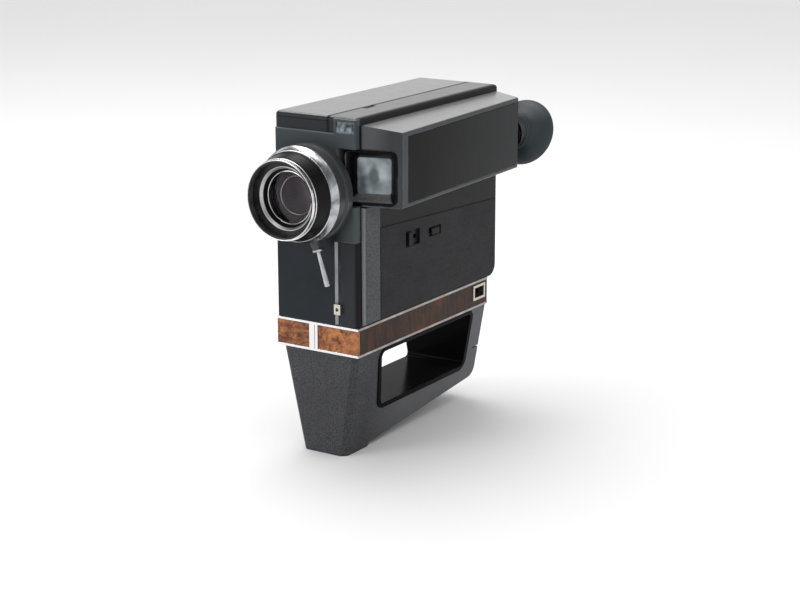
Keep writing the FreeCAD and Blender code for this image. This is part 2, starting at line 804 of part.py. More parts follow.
shutter_z = lens_z - shutter_drop
capstan_z = body_low + capstan_rise
roller_y = capstan_y + capstan_radius + roller_radius + roller_gap
idler_reach = module * (capstan_teeth + idler_teeth) / 2
spindle_reach = idler_reach + module * (idler_teeth + spindle_teeth) / 2
idler_y = capstan_y + idler_reach * cosine(train_angle)
idler_z = capstan_z + idler_reach * sine(train_angle)
spindle_y = capstan_y + spindle_reach * cosine(train_angle)
spindle_z = capstan_z + spindle_reach * sine(train_angle)
motor_x = shutter_x + module * (pinion_teeth + shutter_teeth) / 2
bracket_far = bracket_place + bracket_thick
gear_y = bracket_far + gear_clear + gear_width
gear_x = plate_back + gear_clear
gear_far = gear_x + gear_width
flywheel_far = gear_far + flywheel_step + flywheel_thick


def gear(name, teeth, bore):
    """A spur gear in its own frame, facing Z, with its first tooth on X."""
    body = new_body(name)
    pitch = module * teeth / 2
    root = pitch - module * tooth_depth
    tip = pitch + module
    pad(body, "z", 0, gear_width, Circle(0, 0, root))
    buried = root - gap
    tooth = pad(body, "z", 0, gear_width,
                [(buried, -module * tooth_foot), (tip, -module * tooth_tip),
                 (tip, module * tooth_tip), (buried, module * tooth_foot)])
    repeat(body, tooth, "Z_Axis", teeth)
    pocket(body, "z", -over, gear_width + over, Circle(0, 0, bore))
    return body


def face_gear(body, axis, spin, x, y, z):
    """Turns a gear to face its axis, with its first tooth at an angle from Y or X."""
    facing = {"x": FreeCAD.Rotation(FreeCAD.Vector(1, 1, 1), 120),
              "y": FreeCAD.Rotation(FreeCAD.Vector(1, 0, 0), 90)}[axis]
    turn = facing.multiply(FreeCAD.Rotation(FreeCAD.Vector(0, 0, 1), spin))
    body.Placement = FreeCAD.Placement(FreeCAD.Vector(), turn)
    return place(body, x, y, z)


def make_gate_plate():
    """The film gate: a plate with two runners, its window and a slot for the claw."""
    body = new_body("gate_plate")
    thick = size("gate_plate_thickness", 0.8)
    runner = size("gate_runner_height", 0.6)
    width = size("gate_plate_width", 20)
    height = size("gate_plate_height", 48)
    runner_place = size("gate_runner_place", 5.2)
    runner_width = size("gate_runner_width", 1.6)
    slot_width = size("claw_slot_width", 1)
    slot_place = size("claw_slot_place", 3.6)
    slot_drop = size("claw_slot_drop", 6.2)
    pad(body, "y", chamber_gate, chamber_gate + thick, centred(lens_x, lens_z, width, height))
    pad(body, "y", chamber_gate, chamber_gate + thick + runner,
        centred(lens_x - runner_place, lens_z, runner_width, height - over * 4),
        centred(lens_x + runner_place, lens_z, runner_width, height - over * 4))
    window_width = size("film_window_width", 5.8)
    window_height = size("film_window_height", 4.2)
    slot_height = size("claw_slot_height", 5.5)
    pocket(body, "y", chamber_gate - over, chamber_gate + thick + over,
           centred(lens_x, lens_z, window_width, window_height),
           centred(lens_x + slot_place, lens_z - slot_drop, slot_width, slot_height))
    return keep("gate_plate", body)


def make_sound_head():
    body = new_body("sound_head")
    width = size("sound_head_width", 8)
    height = size("sound_head_height", 10)
    depth = size("sound_head_depth", 6.5)
    clear = size("sound_head_clearance", 2.5)
    stem = size("sound_head_stem_radius", 2)
    rise = size("sound_head_rise", 12)
    near = chamber_gate + clear
    middle = capstan_z + rise
    pad(body, "x", lens_x, chamber_inner, Circle(near + depth / 2, middle, stem))
    pad(body, "x", lens_x - width, lens_x, centred(near + depth / 2, middle, depth, height))
    soften(body, stem - gap, along("x", y=near + depth))
    return keep("sound_head", body)


def make_pinch_roller():
    start = lens_x - roller_width / 2
    roller = tube("pinch_roller", "x", roller_pin_radius + fit, roller_radius, start, start + roller_width)
    keep("pinch_roller", place(roller, 0, roller_y, capstan_z))


def make_mechanism_plate():
    """The plate behind the chamber, with its posts and the pins of idler and roller."""
    body = new_body("mechanism_plate")
    pad(body, "x", chamber_back, plate_back, rectangle(chamber_gate, liner_rear, floor, chamber_top))
    pocket(body, "x", chamber_back - over, plate_back + over,
           Circle(capstan_y, capstan_z, capstan_radius + fit),
           Circle(spindle_y, spindle_z, spindle_radius + fit),
           rectangle(chamber_gate + relief_near, liner_rear - relief_far,
                     chamber_top - relief_low, chamber_top - relief_high))
    pad(body, "x", plate_back, inner_right,
        *[centred(y, z, post_width, post_width)
          for y in (chamber_gate + post_inset, liner_rear - post_inset)
          for z in (floor + post_inset, chamber_top - post_inset)])
    idler_pin = rod("IdlerPin", "x", idler_pin_radius, chamber_back, gear_far + gear_clear)
    place(idler_pin, 0, idler_y, idler_z)
    pin_start = lens_x - roller_width / 2 - over
    roller_pin = rod("RollerPin", "x", roller_pin_radius, pin_start, chamber_back + over)
    place(roller_pin, 0, roller_y, capstan_z)
    keep("mechanism_plate", fuse(body, idler_pin, roller_pin))


def make_capstan():
    wheel = gear("capstan_gear", capstan_teeth, capstan_radius)
    face_gear(wheel, "x", value(train_angle), gear_x, capstan_y, capstan_z)
    motor_gap = flywheel_far + gap * 2
    turning = turned("capstan_flywheel", "x",
                     [(0, lens_x - capstan_start), (capstan_radius, lens_x - capstan_start),
                      (capstan_radius, gear_far + flywheel_step), (flywheel_radius, gear_far + flywheel_step),
                      (flywheel_radius, flywheel_far), (capstan_radius, flywheel_far),
                      (capstan_radius, inner_right - wall), (0, inner_right - wall)])
    keep("capstan_flywheel", fuse(wheel, place(turning, 0, capstan_y, capstan_z)))
    motor = turned("capstan_motor", "x",
                   [(capstan_radius + fit, motor_gap), (flat_motor_radius, motor_gap),
                    (flat_motor_radius, inner_right), (0, inner_right), (0, inner_right - wall + gap),
                    (capstan_radius + fit, inner_right - wall + gap)])
    keep("capstan_motor", place(motor, 0, capstan_y, capstan_z))


def make_idler():
    wheel = gear("idler_gear", idler_teeth, idler_pin_radius + fit)
    turn = value(train_angle) + 180 + 180 / idler_teeth
    keep("idler_gear", face_gear(wheel, "x", turn, gear_x, idler_y, idler_z))


def make_take_up_spindle():
    """The finned hub that turns the cartridge's core, on one shaft with its gear."""
    wheel = gear("spindle_gear", spindle_teeth, spindle_radius)
    face_gear(wheel, "x", value(train_angle) + 180, gear_x, spindle_y, spindle_z)
    hub_end = chamber_inner - over
    start = lens_x - hub_start
    hub = turned("take_up_spindle", "x",
                 [(0, start), (hub_nose, start), (hub_radius, start + hub_start), (hub_radius, hub_end),
                  (spindle_radius, hub_end), (spindle_radius, gear_far), (0, gear_far)])
    fin = pad(hub, "x", start + hub_start, hub_end - over,
              rectangle(hub_radius - gap, fin_radius, -fin_thick / 2, fin_thick / 2))
    repeat(hub, fin, "X_Axis", 3)
    keep("take_up_spindle", fuse(wheel, place(hub, 0, spindle_y, spindle_z)))


def make_motor_bracket():
    plate = new_body("motor_bracket")
    pad(plate, "y", bracket_place, bracket_far,
        rectangle(-bracket_left, inner_right, shutter_z - bracket_low, lens_z + bracket_high))
    pocket(plate, "y", bracket_place - over, bracket_far + over,
           Circle(lens_x, lens_z, tail_mouth), Circle(shutter_x, shutter_z, shutter_shaft + fit),
           Circle(motor_x, shutter_z, motor_nose))
    keep("motor_bracket", plate)


def make_shutter():
    wheel = gear("shutter_gear", shutter_teeth, shutter_shaft)
    keep("shutter_gear", face_gear(wheel, "y", 180 / shutter_teeth, shutter_x, gear_y, shutter_z))
    near = gear_y + shutter_step
    disc = turned("shutter_disc", "y",
                  [(0, bracket_place - shutter_step), (shutter_shaft, bracket_place - shutter_step),
                   (shutter_shaft, gear_y), (shutter_hub, gear_y), (shutter_hub, near),
                   (shutter_radius, near), (shutter_radius, near + shutter_thick),
                   (shutter_shaft, near + shutter_thick), (shutter_shaft, chamber_front - over),
                   (0, chamber_front - over)])
    reach = shutter_radius * 2
    edge = shutter_hub * sine(shutter_closing)
    pocket(disc, "y", near - fit, near + shutter_thick + over,
           [(-shutter_hub, edge), (-reach, reach * tangent(shutter_closing)), (-reach, -reach),
            (0, -reach), (0, -shutter_hub)])
    keep("shutter_disc", place(disc, shutter_x, 0, shutter_z))


def make_drive_motor():
    near = bracket_place
    far = near - motor_length
    bore = motor_shaft + fit
    depth = near - motor_shaft_depth
    motor = turned("drive_motor", "y",
                   [(bore, near), (motor_radius, near), (motor_radius, far), (motor_nose, far),
                    (motor_nose, far - motor_nose_length), (0, far - motor_nose_length), (0, depth),
                    (bore, depth)])
    keep("drive_motor", place(motor, motor_x, 0, shutter_z))
    pinion = gear("motor_pinion", pinion_teeth, motor_shaft)
    face_gear(pinion, "y", 180, motor_x, gear_y, shutter_z)
    shaft = rod("MotorShaft", "y", motor_shaft, depth + over, gear_y)
    keep("motor_pinion", fuse(pinion, place(shaft, motor_x, 0, shutter_z)))


def make_circuit_board():
    body = new_body("circuit_board")
    length = size("board_length", 46)
    height = size("board_height", 66)
    thick = size("board_thickness", 1.6)
    stand = size("board_stand_off", 3.4)
    place_y = size("board_rear_overlap", 28)
    rise = size("board_rise", 18)
    chip_thick = size("chip_thickness", 2.5)
    chip_length = size("chip_length", 18)
    chip_width = size("chip_width", 7)
    can_radius = size("capacitor_radius", 4)
    margin = size("board_margin", 4)
    near = chamber_rear - place_y
    low = floor + rise
    face = inner_right - stand - thick
    pad(body, "x", face, face + thick, rectangle(near, near + length, low, low + height))
    upper = low + height - chip_length
    pad(body, "x", face - chip_thick, face,
        centred(near + length / 4, upper, chip_width, chip_length),
        centred(near + length / 4 + chip_length, upper, chip_width + margin, chip_length / 2),
        centred(near + length / 3, low + height / 3, chip_length, chip_width),
        Circle(near + length - can_radius * 2, low + height / 4, can_radius))
    pad(body, "x", face + thick, inner_right,
        *[centred(y, z, margin, margin)
          for y in (near + margin, near + length - margin)
          for z in (low + margin, low + height - margin)])
    keep("circuit_board", body)


def make_front_plate():
    """The plate round the lens, which fills the body's front corner where it meets it."""
    body = new_body("FrontPlateForm")
    left = -half + plate_inset
    low = body_low + plate_low_inset
    pad(body, "y", plate_face, front + corner_round,
        [(left, low), (lower_edge, low), (lower_edge, split), (half, split), (half, niche_low),
         (niche_left, niche_low), (niche_left, niche_high), (half, niche_high), (half, meter_top),
         (meter_left, meter_top), (meter_left, meter_low), (left, meter_low)])
    soften(body, plate_round, along("z", x=left, y=plate_face),
           along("x", z=meter_low, y=plate_face), along("z", x=meter_left, y=plate_face))
    soften(body, plate_side_round, along("z", x=half, y=plate_face))
    soften(body, niche_bevel, along("z", x=niche_left, y=plate_face), kind="Chamfer")
    pocket(body, "z", low - over, split,
           [(lower_edge - lower_slope, plate_face), (lower_edge - lower_slope, plate_face - over),
            (lower_edge + over, plate_face - over), (lower_edge + over, front), (lower_edge, front)])
    pocket(body, "y", plate_face - over, front, rectangle(pane_left, pane_right, pane_low, pane_high))
    pocket(body, "y", plate_face - over, front + corner_round + over,
           Circle(lens_x, lens_z, tail_radius + fit),
           centred(remote_place, remote_z, remote_width + fit * 2, remote_height + fit * 2))
    keep("front_plate", cut(body, outer_block("PlateSeat")))


def make_remote_bezel():
    bezel = new_body("RemoteBezel")
    pad(bezel, "y", plate_face - remote_proud, front,
        centred(remote_place, remote_z, remote_width, remote_height))
    pad(bezel, "y", front, inner_front + remote_depth, Circle(remote_place, remote_z, remote_width / 2))
    pocket(bezel, "y", plate_face - over, inner_front + remote_depth - over,
           Circle(remote_place, remote_z, remote_bore))
    return bezel


def make_meter_window():
    pane = new_body("meter_window")
    near = plate_face + gap
    pad(pane, "x", pane_left + fit, pane_right - fit,
        [(near, pane_low), (near + pane_lean, pane_high), (front, pane_high), (front, pane_low)])
    pad(pane, "x", neck_left + fit, neck_right - fit,
        rectangle(front, inner_front, pane_low + fit, pane_high - fit))
    keep("meter_window", pane)
    cell = rod("photocell", "y", photocell_radius, inner_front, inner_front + photocell_length)
    keep("photocell", place(cell, (neck_left + neck_right) / 2, 0, (pane_low + pane_high) / 2))


def make_grip_rib():
    rib = new_body("grip_rib")
    near = front + rib_near
    low = body_low + rib_low_margin
    face = half + rib_thick
    pad(rib, "x", half, face, rectangle(near, near + rib_length, low, finder_low - rib_top_gap))
    soften(rib, rib_round, along("z", x=face), along("y", x=face, z=low))
    keep("grip_rib", rib)


def make_side_panel():
    panel = new_body("side_panel")
    near = front + panel_near
    far = rear - panel_rear_margin
    low = body_low + panel_low_margin
    pad(panel, "x", half, half + panel_thick,
        [(near, low), (far - panel_heel, low), (far, low + panel_heel), (far, finder_low - panel_rear_drop),
         (near, finder_low - panel_front_drop)],
        filter_recess, check_recess)
    keep("side_panel", panel)


def make_filter_switch():
    slider = new_body("filter_switch")
    near = filter_slot_near + gap
    face = half + filter_key_proud
    back = recess_floor + fit * 2
    tongue = filter_slot_tall - gap
    pad(slider, "x", back, face,
        rectangle(near, near + filter_key_length, filter_low + over, filter_low + filter_tall - over))
    soften(slider, key_round, along("z", x=face))
    pad(slider, "x", inner_right - panel_thick * 2, back,
        rectangle(near, near + filter_tongue, filter_mid - tongue / 2, filter_mid + tongue / 2))
    keep("filter_switch", slider)


def make_check_button():
    button = new_body("battery_check_button")
    back = recess_floor + check_travel + fit * 2
    face = half + check_key_proud
    pad(button, "x", back, face, centred(check_middle_y, check_mid, check_key_length, check_key_tall))
    soften(button, key_round, along("y", x=face), along("z", x=face))
    pad(button, "x", inner_right - wall, back, Circle(check_middle_y, check_mid, check_stem_radius))
    keep("battery_check_button", button)


def side_plate_outline(inset):
    """The long panel's outline on the housing's side, whose top follows the sloped roof."""
    low = finder_low + plate_low_margin + inset
    high = finder_high - finder_fall - plate_high_margin - inset
    rise = (finder_length - plate_setback) * tangent(finder_taper) * tangent(finder_slope)
    near = plate_setback + inset
    far = finder_back_corner - finder_corner_y - plate_rear_margin - inset
    return [(near, low), (far, low), (far, high + rise), (near, high)]


def on_finder_side(name, left, right, inset):
    """A flat form on the housing's outer side, turned with that side's taper."""
    outline = side_plate_outline(inset)
    body = prism(name, "x", left, right, outline)
    rear_y, rear_z = outline[1]
    soften(body, plate_corner, along("x", y=rear_y, z=rear_z))
    return place(body, finder_side, finder_corner_y, 0, "z", finder_taper)


def make_finder():
    body = new_body("FinderForm")
    corner_x = finder_side - finder_inset
    pad(body, "z", finder_low, finder_high,
        [(half, finder_near), (finder_side, finder_corner_y), (corner_x, finder_back_corner),
         (half, finder_back)])
    pocket(body, "y", front, finder_back + over,
           [(half, finder_high), (finder_side, finder_high - finder_fall),
            (finder_side + over, finder_high - finder_fall), (finder_side + over, finder_high + over),
            (half, finder_high + over)])

    def rear_corner(edge):
        return (edge.CenterOfMass.x > value(corner_x - over) and
                edge.CenterOfMass.y > value(finder_back_corner - over) and
                abs(edge.Curve.Direction.z) > 0.98)

    def long_edge(edge):
        return (edge.Curve.TypeId == "Part::GeomLine" and
                edge.CenterOfMass.x > value(corner_x - over) and
                abs(edge.Curve.Direction.y) > 0.95)

    soften(body, finder_rear_round, rear_corner)
    soften(body, finder_edge_round, long_edge)
    lid = finder_wall
    pocket(body, "z", finder_low + lid, finder_high - finder_fall - lid,
           [(half - over, finder_near + lid + over), (finder_side - lid, finder_corner_y + lid + over),
            (corner_x - lid, finder_back_corner - lid - over), (half - over, finder_back - lid)])
    pocket(body, "y", finder_back_corner - lid * 4, finder_back + over,
           Circle(finder_x, finder_z, relay_radius + fit))
    recess = on_finder_side("SideRecess", -plate_recess, over * 2, 0)
    keep("viewfinder_housing", cut(body, hood_space("HousingHoodRoom"), recess))
    plate = on_finder_side("viewfinder_side_plate", -plate_recess, side_plate_thick - plate_recess,
                           side_plate_gap)
    keep("viewfinder_side_plate", plate)


def make_window_hood():
    """A square hood whose smooth funnel runs back to the window."""
    body = new_body("viewfinder_hood")
    pad(body, "y", -hood_proud, hood_depth, centred(0, 0, hood_width, hood_height))
    soften(body, hood_round, along("y"))
    narrowing = funnel_depth * tangent(funnel_taper) * 2
    inner_width = funnel_width - narrowing
    inner_height = funnel_height - narrowing
    funnel = pocket(body, "y", -hood_proud, funnel_depth - hood_proud,
                    centred(0, 0, funnel_width, funnel_height))
    bind(funnel, "TaperAngle", -funnel_taper)
    pane_near = funnel_depth - hood_proud
    pocket(body, "y", pane_near - fit, hood_depth - hood_back_thick,
           centred(0, 0, inner_width + window_rebate, inner_height + window_rebate))
    sight = (finder_x - hood_x + hood_depth * sine(finder_sweep)) / cosine(finder_sweep)
    pocket(body, "y", hood_depth - hood_back_thick - over, hood_depth + over,
           Circle(sight, finder_z - hood_z, relay_bore))
    keep("viewfinder_hood", place(body, hood_x, hood_y, hood_z, "z", finder_sweep))
    pane = prism("viewfinder_window", "y", pane_near, pane_near + window_thick,
                 centred(0, 0, inner_width + window_rebate, inner_height + window_rebate))
    keep("viewfinder_window", place(pane, hood_x, hood_y, hood_z, "z", finder_sweep))


def make_eyepiece():
    end = rear + eyepiece_length
    step = rear + gap
    start = front + relay_start
    inner_step = step + eyepiece_floor
    sleeve = turned("eyepiece_tube", "y",
                    [(relay_bore, start), (relay_radius, start), (relay_radius, step),
                     (eyepiece_radius, step), (eyepiece_radius, end), (eyepiece_bore, end),
                     (eyepiece_bore, inner_step), (relay_bore, inner_step)])
    keep("eyepiece_tube", place(sleeve, finder_x, 0, finder_z))
    near = rear + eye_lens_place
    lens = turned("EyeLens", "y",
                  [(0, near), (eyepiece_bore, near + eye_lens_crown),
                   (eyepiece_bore, near + eye_lens_thick - eye_lens_crown), (0, near + eye_lens_thick)])
    sight_lens = rod("SightLens", "y", relay_bore, start + over, start + over + sight_lens_thick)
    group("finder_lenses", place(lens, finder_x, 0, finder_z), place(sight_lens, finder_x, 0, finder_z))
    ring = tube("dioptre_ring", "y", eyepiece_radius + fit, dioptre_radius,
                rear + dioptre_place, rear + dioptre_place + dioptre_length)
    keep("dioptre_ring", place(ring, finder_x, 0, finder_z))


def make_eyecup():
    """A rubber cup whose neck grips the eyepiece and whose bowl leans back at the top."""
    bore = eyepiece_radius + fit
    start = rear + cup_neck_place
    middle = rear + cup_place
    foot = eyepiece_radius + cup_foot
    neck = tube("EyecupNeck", "y", bore, eyepiece_radius + cup_neck_thick, start, middle + cup_depth)
    bowl = turned("EyecupBowl", "y",
                  [(eyepiece_radius - over, 0), (foot, 0), (cup_radius, cup_depth),
                   (cup_radius, cup_depth + cup_lip), (cup_radius - cup_skin, cup_depth + cup_lip),
                   (eyepiece_radius - over, cup_skin)])
    behind = rod("EyecupNeckLimit", "y", cup_radius, -cup_radius, cup_skin)
    room = rod("EyecupBore", "y", bore, start - over, middle + cup_depth)
    for form in (bowl, behind):
        place(form, finder_x, middle, finder_z, "x", cup_lean)
    for form in (neck, room):
        place(form, finder_x, 0, finder_z)
    keep("eyecup", cut(fuse(common(neck, behind), bowl), room))


def lens_part(name, points):
    return place(turned(name, "y", points), lens_x, 0, lens_z)


def make_lens_rings():
    bevel = ring_bevel
    keep("lens_flange", lens_part("lens_flange",
         [(ring_bore, flange_end), (lens_base - bevel, flange_end), (lens_base, flange_end + bevel),
          (lens_base, plate_face), (ring_bore, plate_face)]))
    ring = lens_part("ZoomRingForm",
                     [(ring_bore, zoom_end), (lens_base - bevel, zoom_end), (lens_base, zoom_end + bevel),
                      (lens_base, zoom_far), (ring_bore, zoom_far)])
    boss = new_body("ZoomBoss")
    neck = lens_base + lever_neck
    pad(boss, "y", -zoom_length / 3, zoom_length / 3,
        [(-boss_half, -lens_base + wall), (boss_half, -lens_base + wall),
         (lever_root_radius * 2, -neck), (-lever_root_radius * 2, -neck)])
    place(boss, lens_x, zoom_middle, lens_z, "y", -lever_lean)
    keep("zoom_ring", fuse(ring, boss))
    keep("distance_ring", lens_part("distance_ring",
         [(ring_bore, scale_end), (grip_large, scale_end), (scale_large, scale_start - bevel),
          (scale_large, scale_start), (ring_bore, scale_start)]))
    grip_middle = (grip_end + scale_end) / 2
    middle_radius = (grip_small + grip_large) / 2
    keep("focus_ring", lens_part("focus_ring",
         [(cone_radius, grip_end), (grip_small, grip_end), (middle_radius, grip_middle),
          (middle_radius - grip_step, grip_middle), (grip_large - grip_step, scale_end),
          (ring_bore, scale_end), (ring_bore, cone_seat), (cone_radius, cone_seat)]))
    keep("lens_front_rim", lens_part("lens_front_rim",
         [(thread_radius, rim_end), (rim_radius - bevel, rim_end), (rim_radius, rim_end + bevel),
          (rim_radius, grip_end - bevel), (grip_small, grip_end - bevel), (grip_small, grip_end),
          (thread_radius, grip_end)]))


def make_zoom_lever():
    """A slim rod that widens to a rounded tip, hung from a short crosspiece."""
    neck = lens_base + lever_neck
    tip = lens_base + lever_reach
    lever = turned("zoom_lever", "z",
                   [(0, -tip), (lever_tip_radius - ring_bevel, -tip), (lever_tip_radius, -tip + ring_bevel),
                    (lever_root_radius, -neck), (0, -neck)])
    pad(lever, "y", -lever_head_tall, lever_head_tall,
        rectangle(-lever_head_half, lever_head_half, -neck - lever_head_tall, -neck))
    keep("zoom_lever", place(lever, lens_x, zoom_middle, lens_z, "y", -lever_lean))


def make_lens_inside():
    ring_place = grip_end + cone_ring_place
    keep("lens_hood_cone", lens_part("lens_hood_cone",
         [(cone_radius, cone_start), (cone_radius, cone_seat), (ring_bore, cone_seat), (ring_bore, cone_end),
          (cone_mouth, cone_end), (cone_mouth, cone_end - cone_skin),
          (cone_ring - cone_skin, ring_place + cone_skin), (cone_ring - cone_skin, ring_place),
          (cone_ring, ring_place), (thread_radius, cone_start)]))
    glass = barrel_bore - fit * 2
    keep("front_lens", lens_part("front_lens",
         [(0, cone_end - front_glass_crown), (cone_mouth - gap, cone_end), (glass, cone_end),
          (glass, cone_end + front_glass_thick), (0, cone_end + front_glass_thick)]))
    barrel_start = cone_end + fit * 2
    shelf = plate_face - wall
    keep("lens_barrel", lens_part("lens_barrel",
         [(barrel_bore, barrel_start), (barrel_radius, barrel_start), (barrel_radius, plate_face),
          (tail_radius, plate_face), (tail_radius, bracket_place), (tail_mouth, bracket_place),
          (tail_mouth, bracket_place - wall), (tail_bore, bracket_place - wall), (tail_bore, shelf),
          (barrel_bore, shelf)]))
    zoom_near = cone_end + zoom_group_place
    zoom_group = lens_part("ZoomGroup",
                           [(0, zoom_near), (zoom_group_radius, zoom_near),
                            (zoom_group_radius, zoom_near + wall), (barrel_bore, zoom_near + wall),
                            (barrel_bore, zoom_near + zoom_group_thick), (0, zoom_near + zoom_group_thick)])
    rear_far = bracket_place - wall
    rear_group = lens_part("RearGroup",
                           [(0, rear_far - rear_group_thick), (tail_bore, rear_far - rear_group_thick),
                            (tail_bore, rear_far), (0, rear_far)])
    group("inner_lens_groups", zoom_group, rear_group)
    iris = prism("iris_blades", "y", iris_place, iris_place + iris_thick,
                 Circle(0, 0, tail_bore), Circle(0, 0, iris_hole))
    keep("iris_blades", place(iris, lens_x, 0, lens_z))


# The wood trimmed band
band_rear = size("band_rear_place", 149.6)
wood_thick = size("wood_thickness", 2)
trim_height = size("trim_height", 1.6)
trim_proud = size("trim_proud", 0.3)
strip_left = size("front_strip_left", 6.4)
strip_right = size("front_strip_right", 0.4)
strip_proud = size("front_strip_proud", 0.4)
strip_groove = size("front_strip_groove", 2)
strip_groove_width = size("front_strip_groove_width", 0.5)
jack_near = size("jack_bezel_place", 129.3)
jack_length = size("jack_bezel_length", 16.5)
jack_low_rise = size("jack_bezel_rise", 6)
jack_tall = size("jack_bezel_height", 11)
jack_frame = size("jack_bezel_frame", 1.8)
jack_proud = size("jack_bezel_proud", 0.8)
jack_depth = size("jack_depth", 12)
jack_bore = size("jack_bore_radius", 1.75)

jack_low = band_low + jack_low_rise
jack_y = jack_near + jack_length / 2
jack_z = jack_low + jack_tall / 2
jack_inner_length = jack_length - jack_frame * 2
jack_inner_tall = jack_tall - jack_frame * 2
wood_low = band_low + trim_height
wood_high = body_low - trim_height
wood_face = half - wood_thick
wood_front = front + wood_thick


def make_band_frame():
    core = new_body("band_frame")
    pad(core, "z", band_low, body_low, rectangle(-wood_face, wood_face, wood_front, band_rear))
    pocket(core, "z", band_low + wall, body_low + over,
           rectangle(-wood_face + wall, wood_face - wall, wood_front + wall, band_rear - wall))
    pocket(core, "x", wood_face - wall - over, wood_face + over,
           centred(jack_y, jack_z, jack_inner_length - over * 2, jack_inner_tall + gap))
    keep("band_frame", core)


def make_wood():
    right = prism("side_wood_right", "x", wood_face, half,
                  rectangle(wood_front, band_rear, wood_low, wood_high),
                  centred(jack_y, jack_z, jack_length, jack_tall))
    left = prism("side_wood_left", "x", -half, -wood_face,
                 rectangle(wood_front, band_rear, wood_low, wood_high))
    group("side_wood_panels", right, left)
    group("front_wood_panels",
          block("FrontWoodLeft", -half, -strip_left - gap, front, wood_front, wood_low, wood_high),
          block("FrontWoodRight", strip_right + gap, half, front, wood_front, wood_low, wood_high))


def make_band_trims():
    edge = half + trim_proud
    strip = prism("FrontStrip", "y", front - strip_proud, wood_front,
                  rectangle(-strip_left, strip_right, wood_low, wood_high))
    pocket(strip, "y", front - strip_proud - over, front,
           centred(-strip_groove, (wood_low + wood_high) / 2, strip_groove_width, band_height))
    trims = [prism(name, "z", low, high,
                   rectangle(-edge, edge, front - trim_proud, band_rear + trim_proud),
                   rectangle(-wood_face, wood_face, wood_front, band_rear))
             for name, low, high in (("LowerTrim", band_low, wood_low),
                                     ("UpperTrim", wood_high, body_low))]
    group("band_trims", strip, *trims)


def make_sockets():
    """The microphone socket, and the frames of both sockets."""
    frame = prism("JackBezel", "x", wood_face, half + jack_proud,
                  centred(jack_y, jack_z, jack_length, jack_tall),
                  centred(jack_y, jack_z, jack_inner_length, jack_inner_tall))
    group("socket_bezels", make_remote_bezel(), frame)
    socket = new_body("microphone_socket")
    pad(socket, "x", wood_face, half - jack_proud,
        centred(jack_y, jack_z, jack_inner_length, jack_inner_tall))
    pad(socket, "x", wood_face - jack_depth, wood_face,
        centred(jack_y, jack_z, jack_inner_length - over * 3, jack_inner_tall - gap))
    pocket(socket, "x", wood_face - jack_depth + over, half, Circle(jack_y, jack_z, jack_bore))
    keep("microphone_socket", socket)


# Handle, a loop with a tapered section
handle_top_half = size("handle_top_half_width", 30.85)
handle_foot_half = size("handle_foot_half_width", 17.8)
handle_front_top = size("handle_front_top", 17.5)
handle_front_low = size("handle_front_low", 13.5)
handle_length = size("handle_length", 168.5)
handle_wall = size("handle_wall", 2)
handle_draft = size("handle_wall_draft", 1)
front_bevel = size("handle_front_bevel", 3.6)
bar_heel = size("bar_heel_radius", 8)
foot_rear = size("foot_rear_place", 14)
bar_rise = size("bar_front_rise", 2.6)
bar_angle = size("bar_angle", 6.03)
loop_front_top = size("loop_front_top", 13)
loop_front_low = size("loop_front_low", 22)
loop_rear = size("loop_rear_place", 131)
loop_floor = size("loop_floor_height", 29.5)
loop_ceiling = size("loop_ceiling_height", 70)
loop_corner = size("loop_corner_radius", 5)
liner_thick = size("loop_liner_thickness", 1.2)
loop_rim = size("loop_rim_width", 3.6)
loop_rim_proud = size("loop_rim_proud", 0.8)
slit_height = size("rear_slit_height", 40)
slit_width = size("rear_slit_width", 1.2)
slit_depth = size("rear_slit_depth", 10)
column_floor = size("grip_column_floor", 30)
column_wall = size("grip_column_wall", 4)
post_floor = size("rear_post_floor", 44)
trigger_slot_half = size("trigger_slot_half_width", 5.6)
trigger_slot_low = size("trigger_slot_low", 36)
trigger_slot_high = size("trigger_slot_high", 69.6)
trigger_slot_far = size("trigger_slot_depth", 26)
battery_half = size("battery_room_half_width", 14.9)
battery_low = size("battery_room_floor", 1.4)
battery_high = size("battery_room_ceiling", 15.9)
battery_slack = size("battery_room_slack", 2)
cover_half = size("battery_cover_half_width", 16.3)
cover_thick = size("battery_cover_thickness", 1.2)
cover_start = size("battery_cover_start", 28)
cover_length = size("battery_cover_length", 112)
cover_hinge_high = size("battery_hinge_height", 3)
cover_hinge_room = size("battery_hinge_room", 5.2)
cover_swing = size("battery_cover_swing_room", 1.6)
cover_pivot_radius = size("battery_pivot_radius", 1)
cover_pivot_inset = size("battery_pivot_inset", 2.3)
cover_pivot_rise = size("battery_pivot_rise", 2.4)
thumb_grooves = 4
groove_step = size("thumb_groove_step", 4)
groove_half = size("thumb_groove_half_width", 8)
catch_near = size("catch_place", 18.4)
catch_length = size("catch_length", 8.6)
catch_half = size("catch_half_width", 6)
catch_proud = size("catch_proud", 1.8)
catch_travel = size("catch_travel", 4)
cell_radius = size("cell_radius", 7.1)
cell_length = size("cell_length", 50)
cell_start = size("cell_start", 8)
cell_rise = size("cell_rise", 1.5)
trigger_y = size("trigger_pin_place", 4.6)
trigger_z = size("trigger_pin_height", 63.6)
trigger_half = size("trigger_half_width", 5.1)
trigger_round = size("trigger_front_radius", 2.2)
trigger_pin_radius = size("trigger_pin_radius", 1.2)
trigger_pin_inset = size("trigger_pin_inset", 5.5)
trigger_brow = [(-3.8, -1.6), (-3.1, 2.8), (0.4, 4.7), (7.8, 4.7)]
trigger_face = [(15.9, -1.1), (19.8, -11.6), (20, -19.6), (17.8, -24.6)]
trigger_back = [(14, -25.1), (10.4, -19.6), (6.4, -6.6)]
spring_bore = size("trigger_spring_bore", 1.6)
spring_radius = size("trigger_spring_radius", 2.9)
spring_length = size("trigger_spring_length", 4)
bush_radius = size("tripod_bush_radius", 6)
bush_length = size("tripod_bush_length", 9)
socket_radius = size("tripod_socket_radius", 3.175)

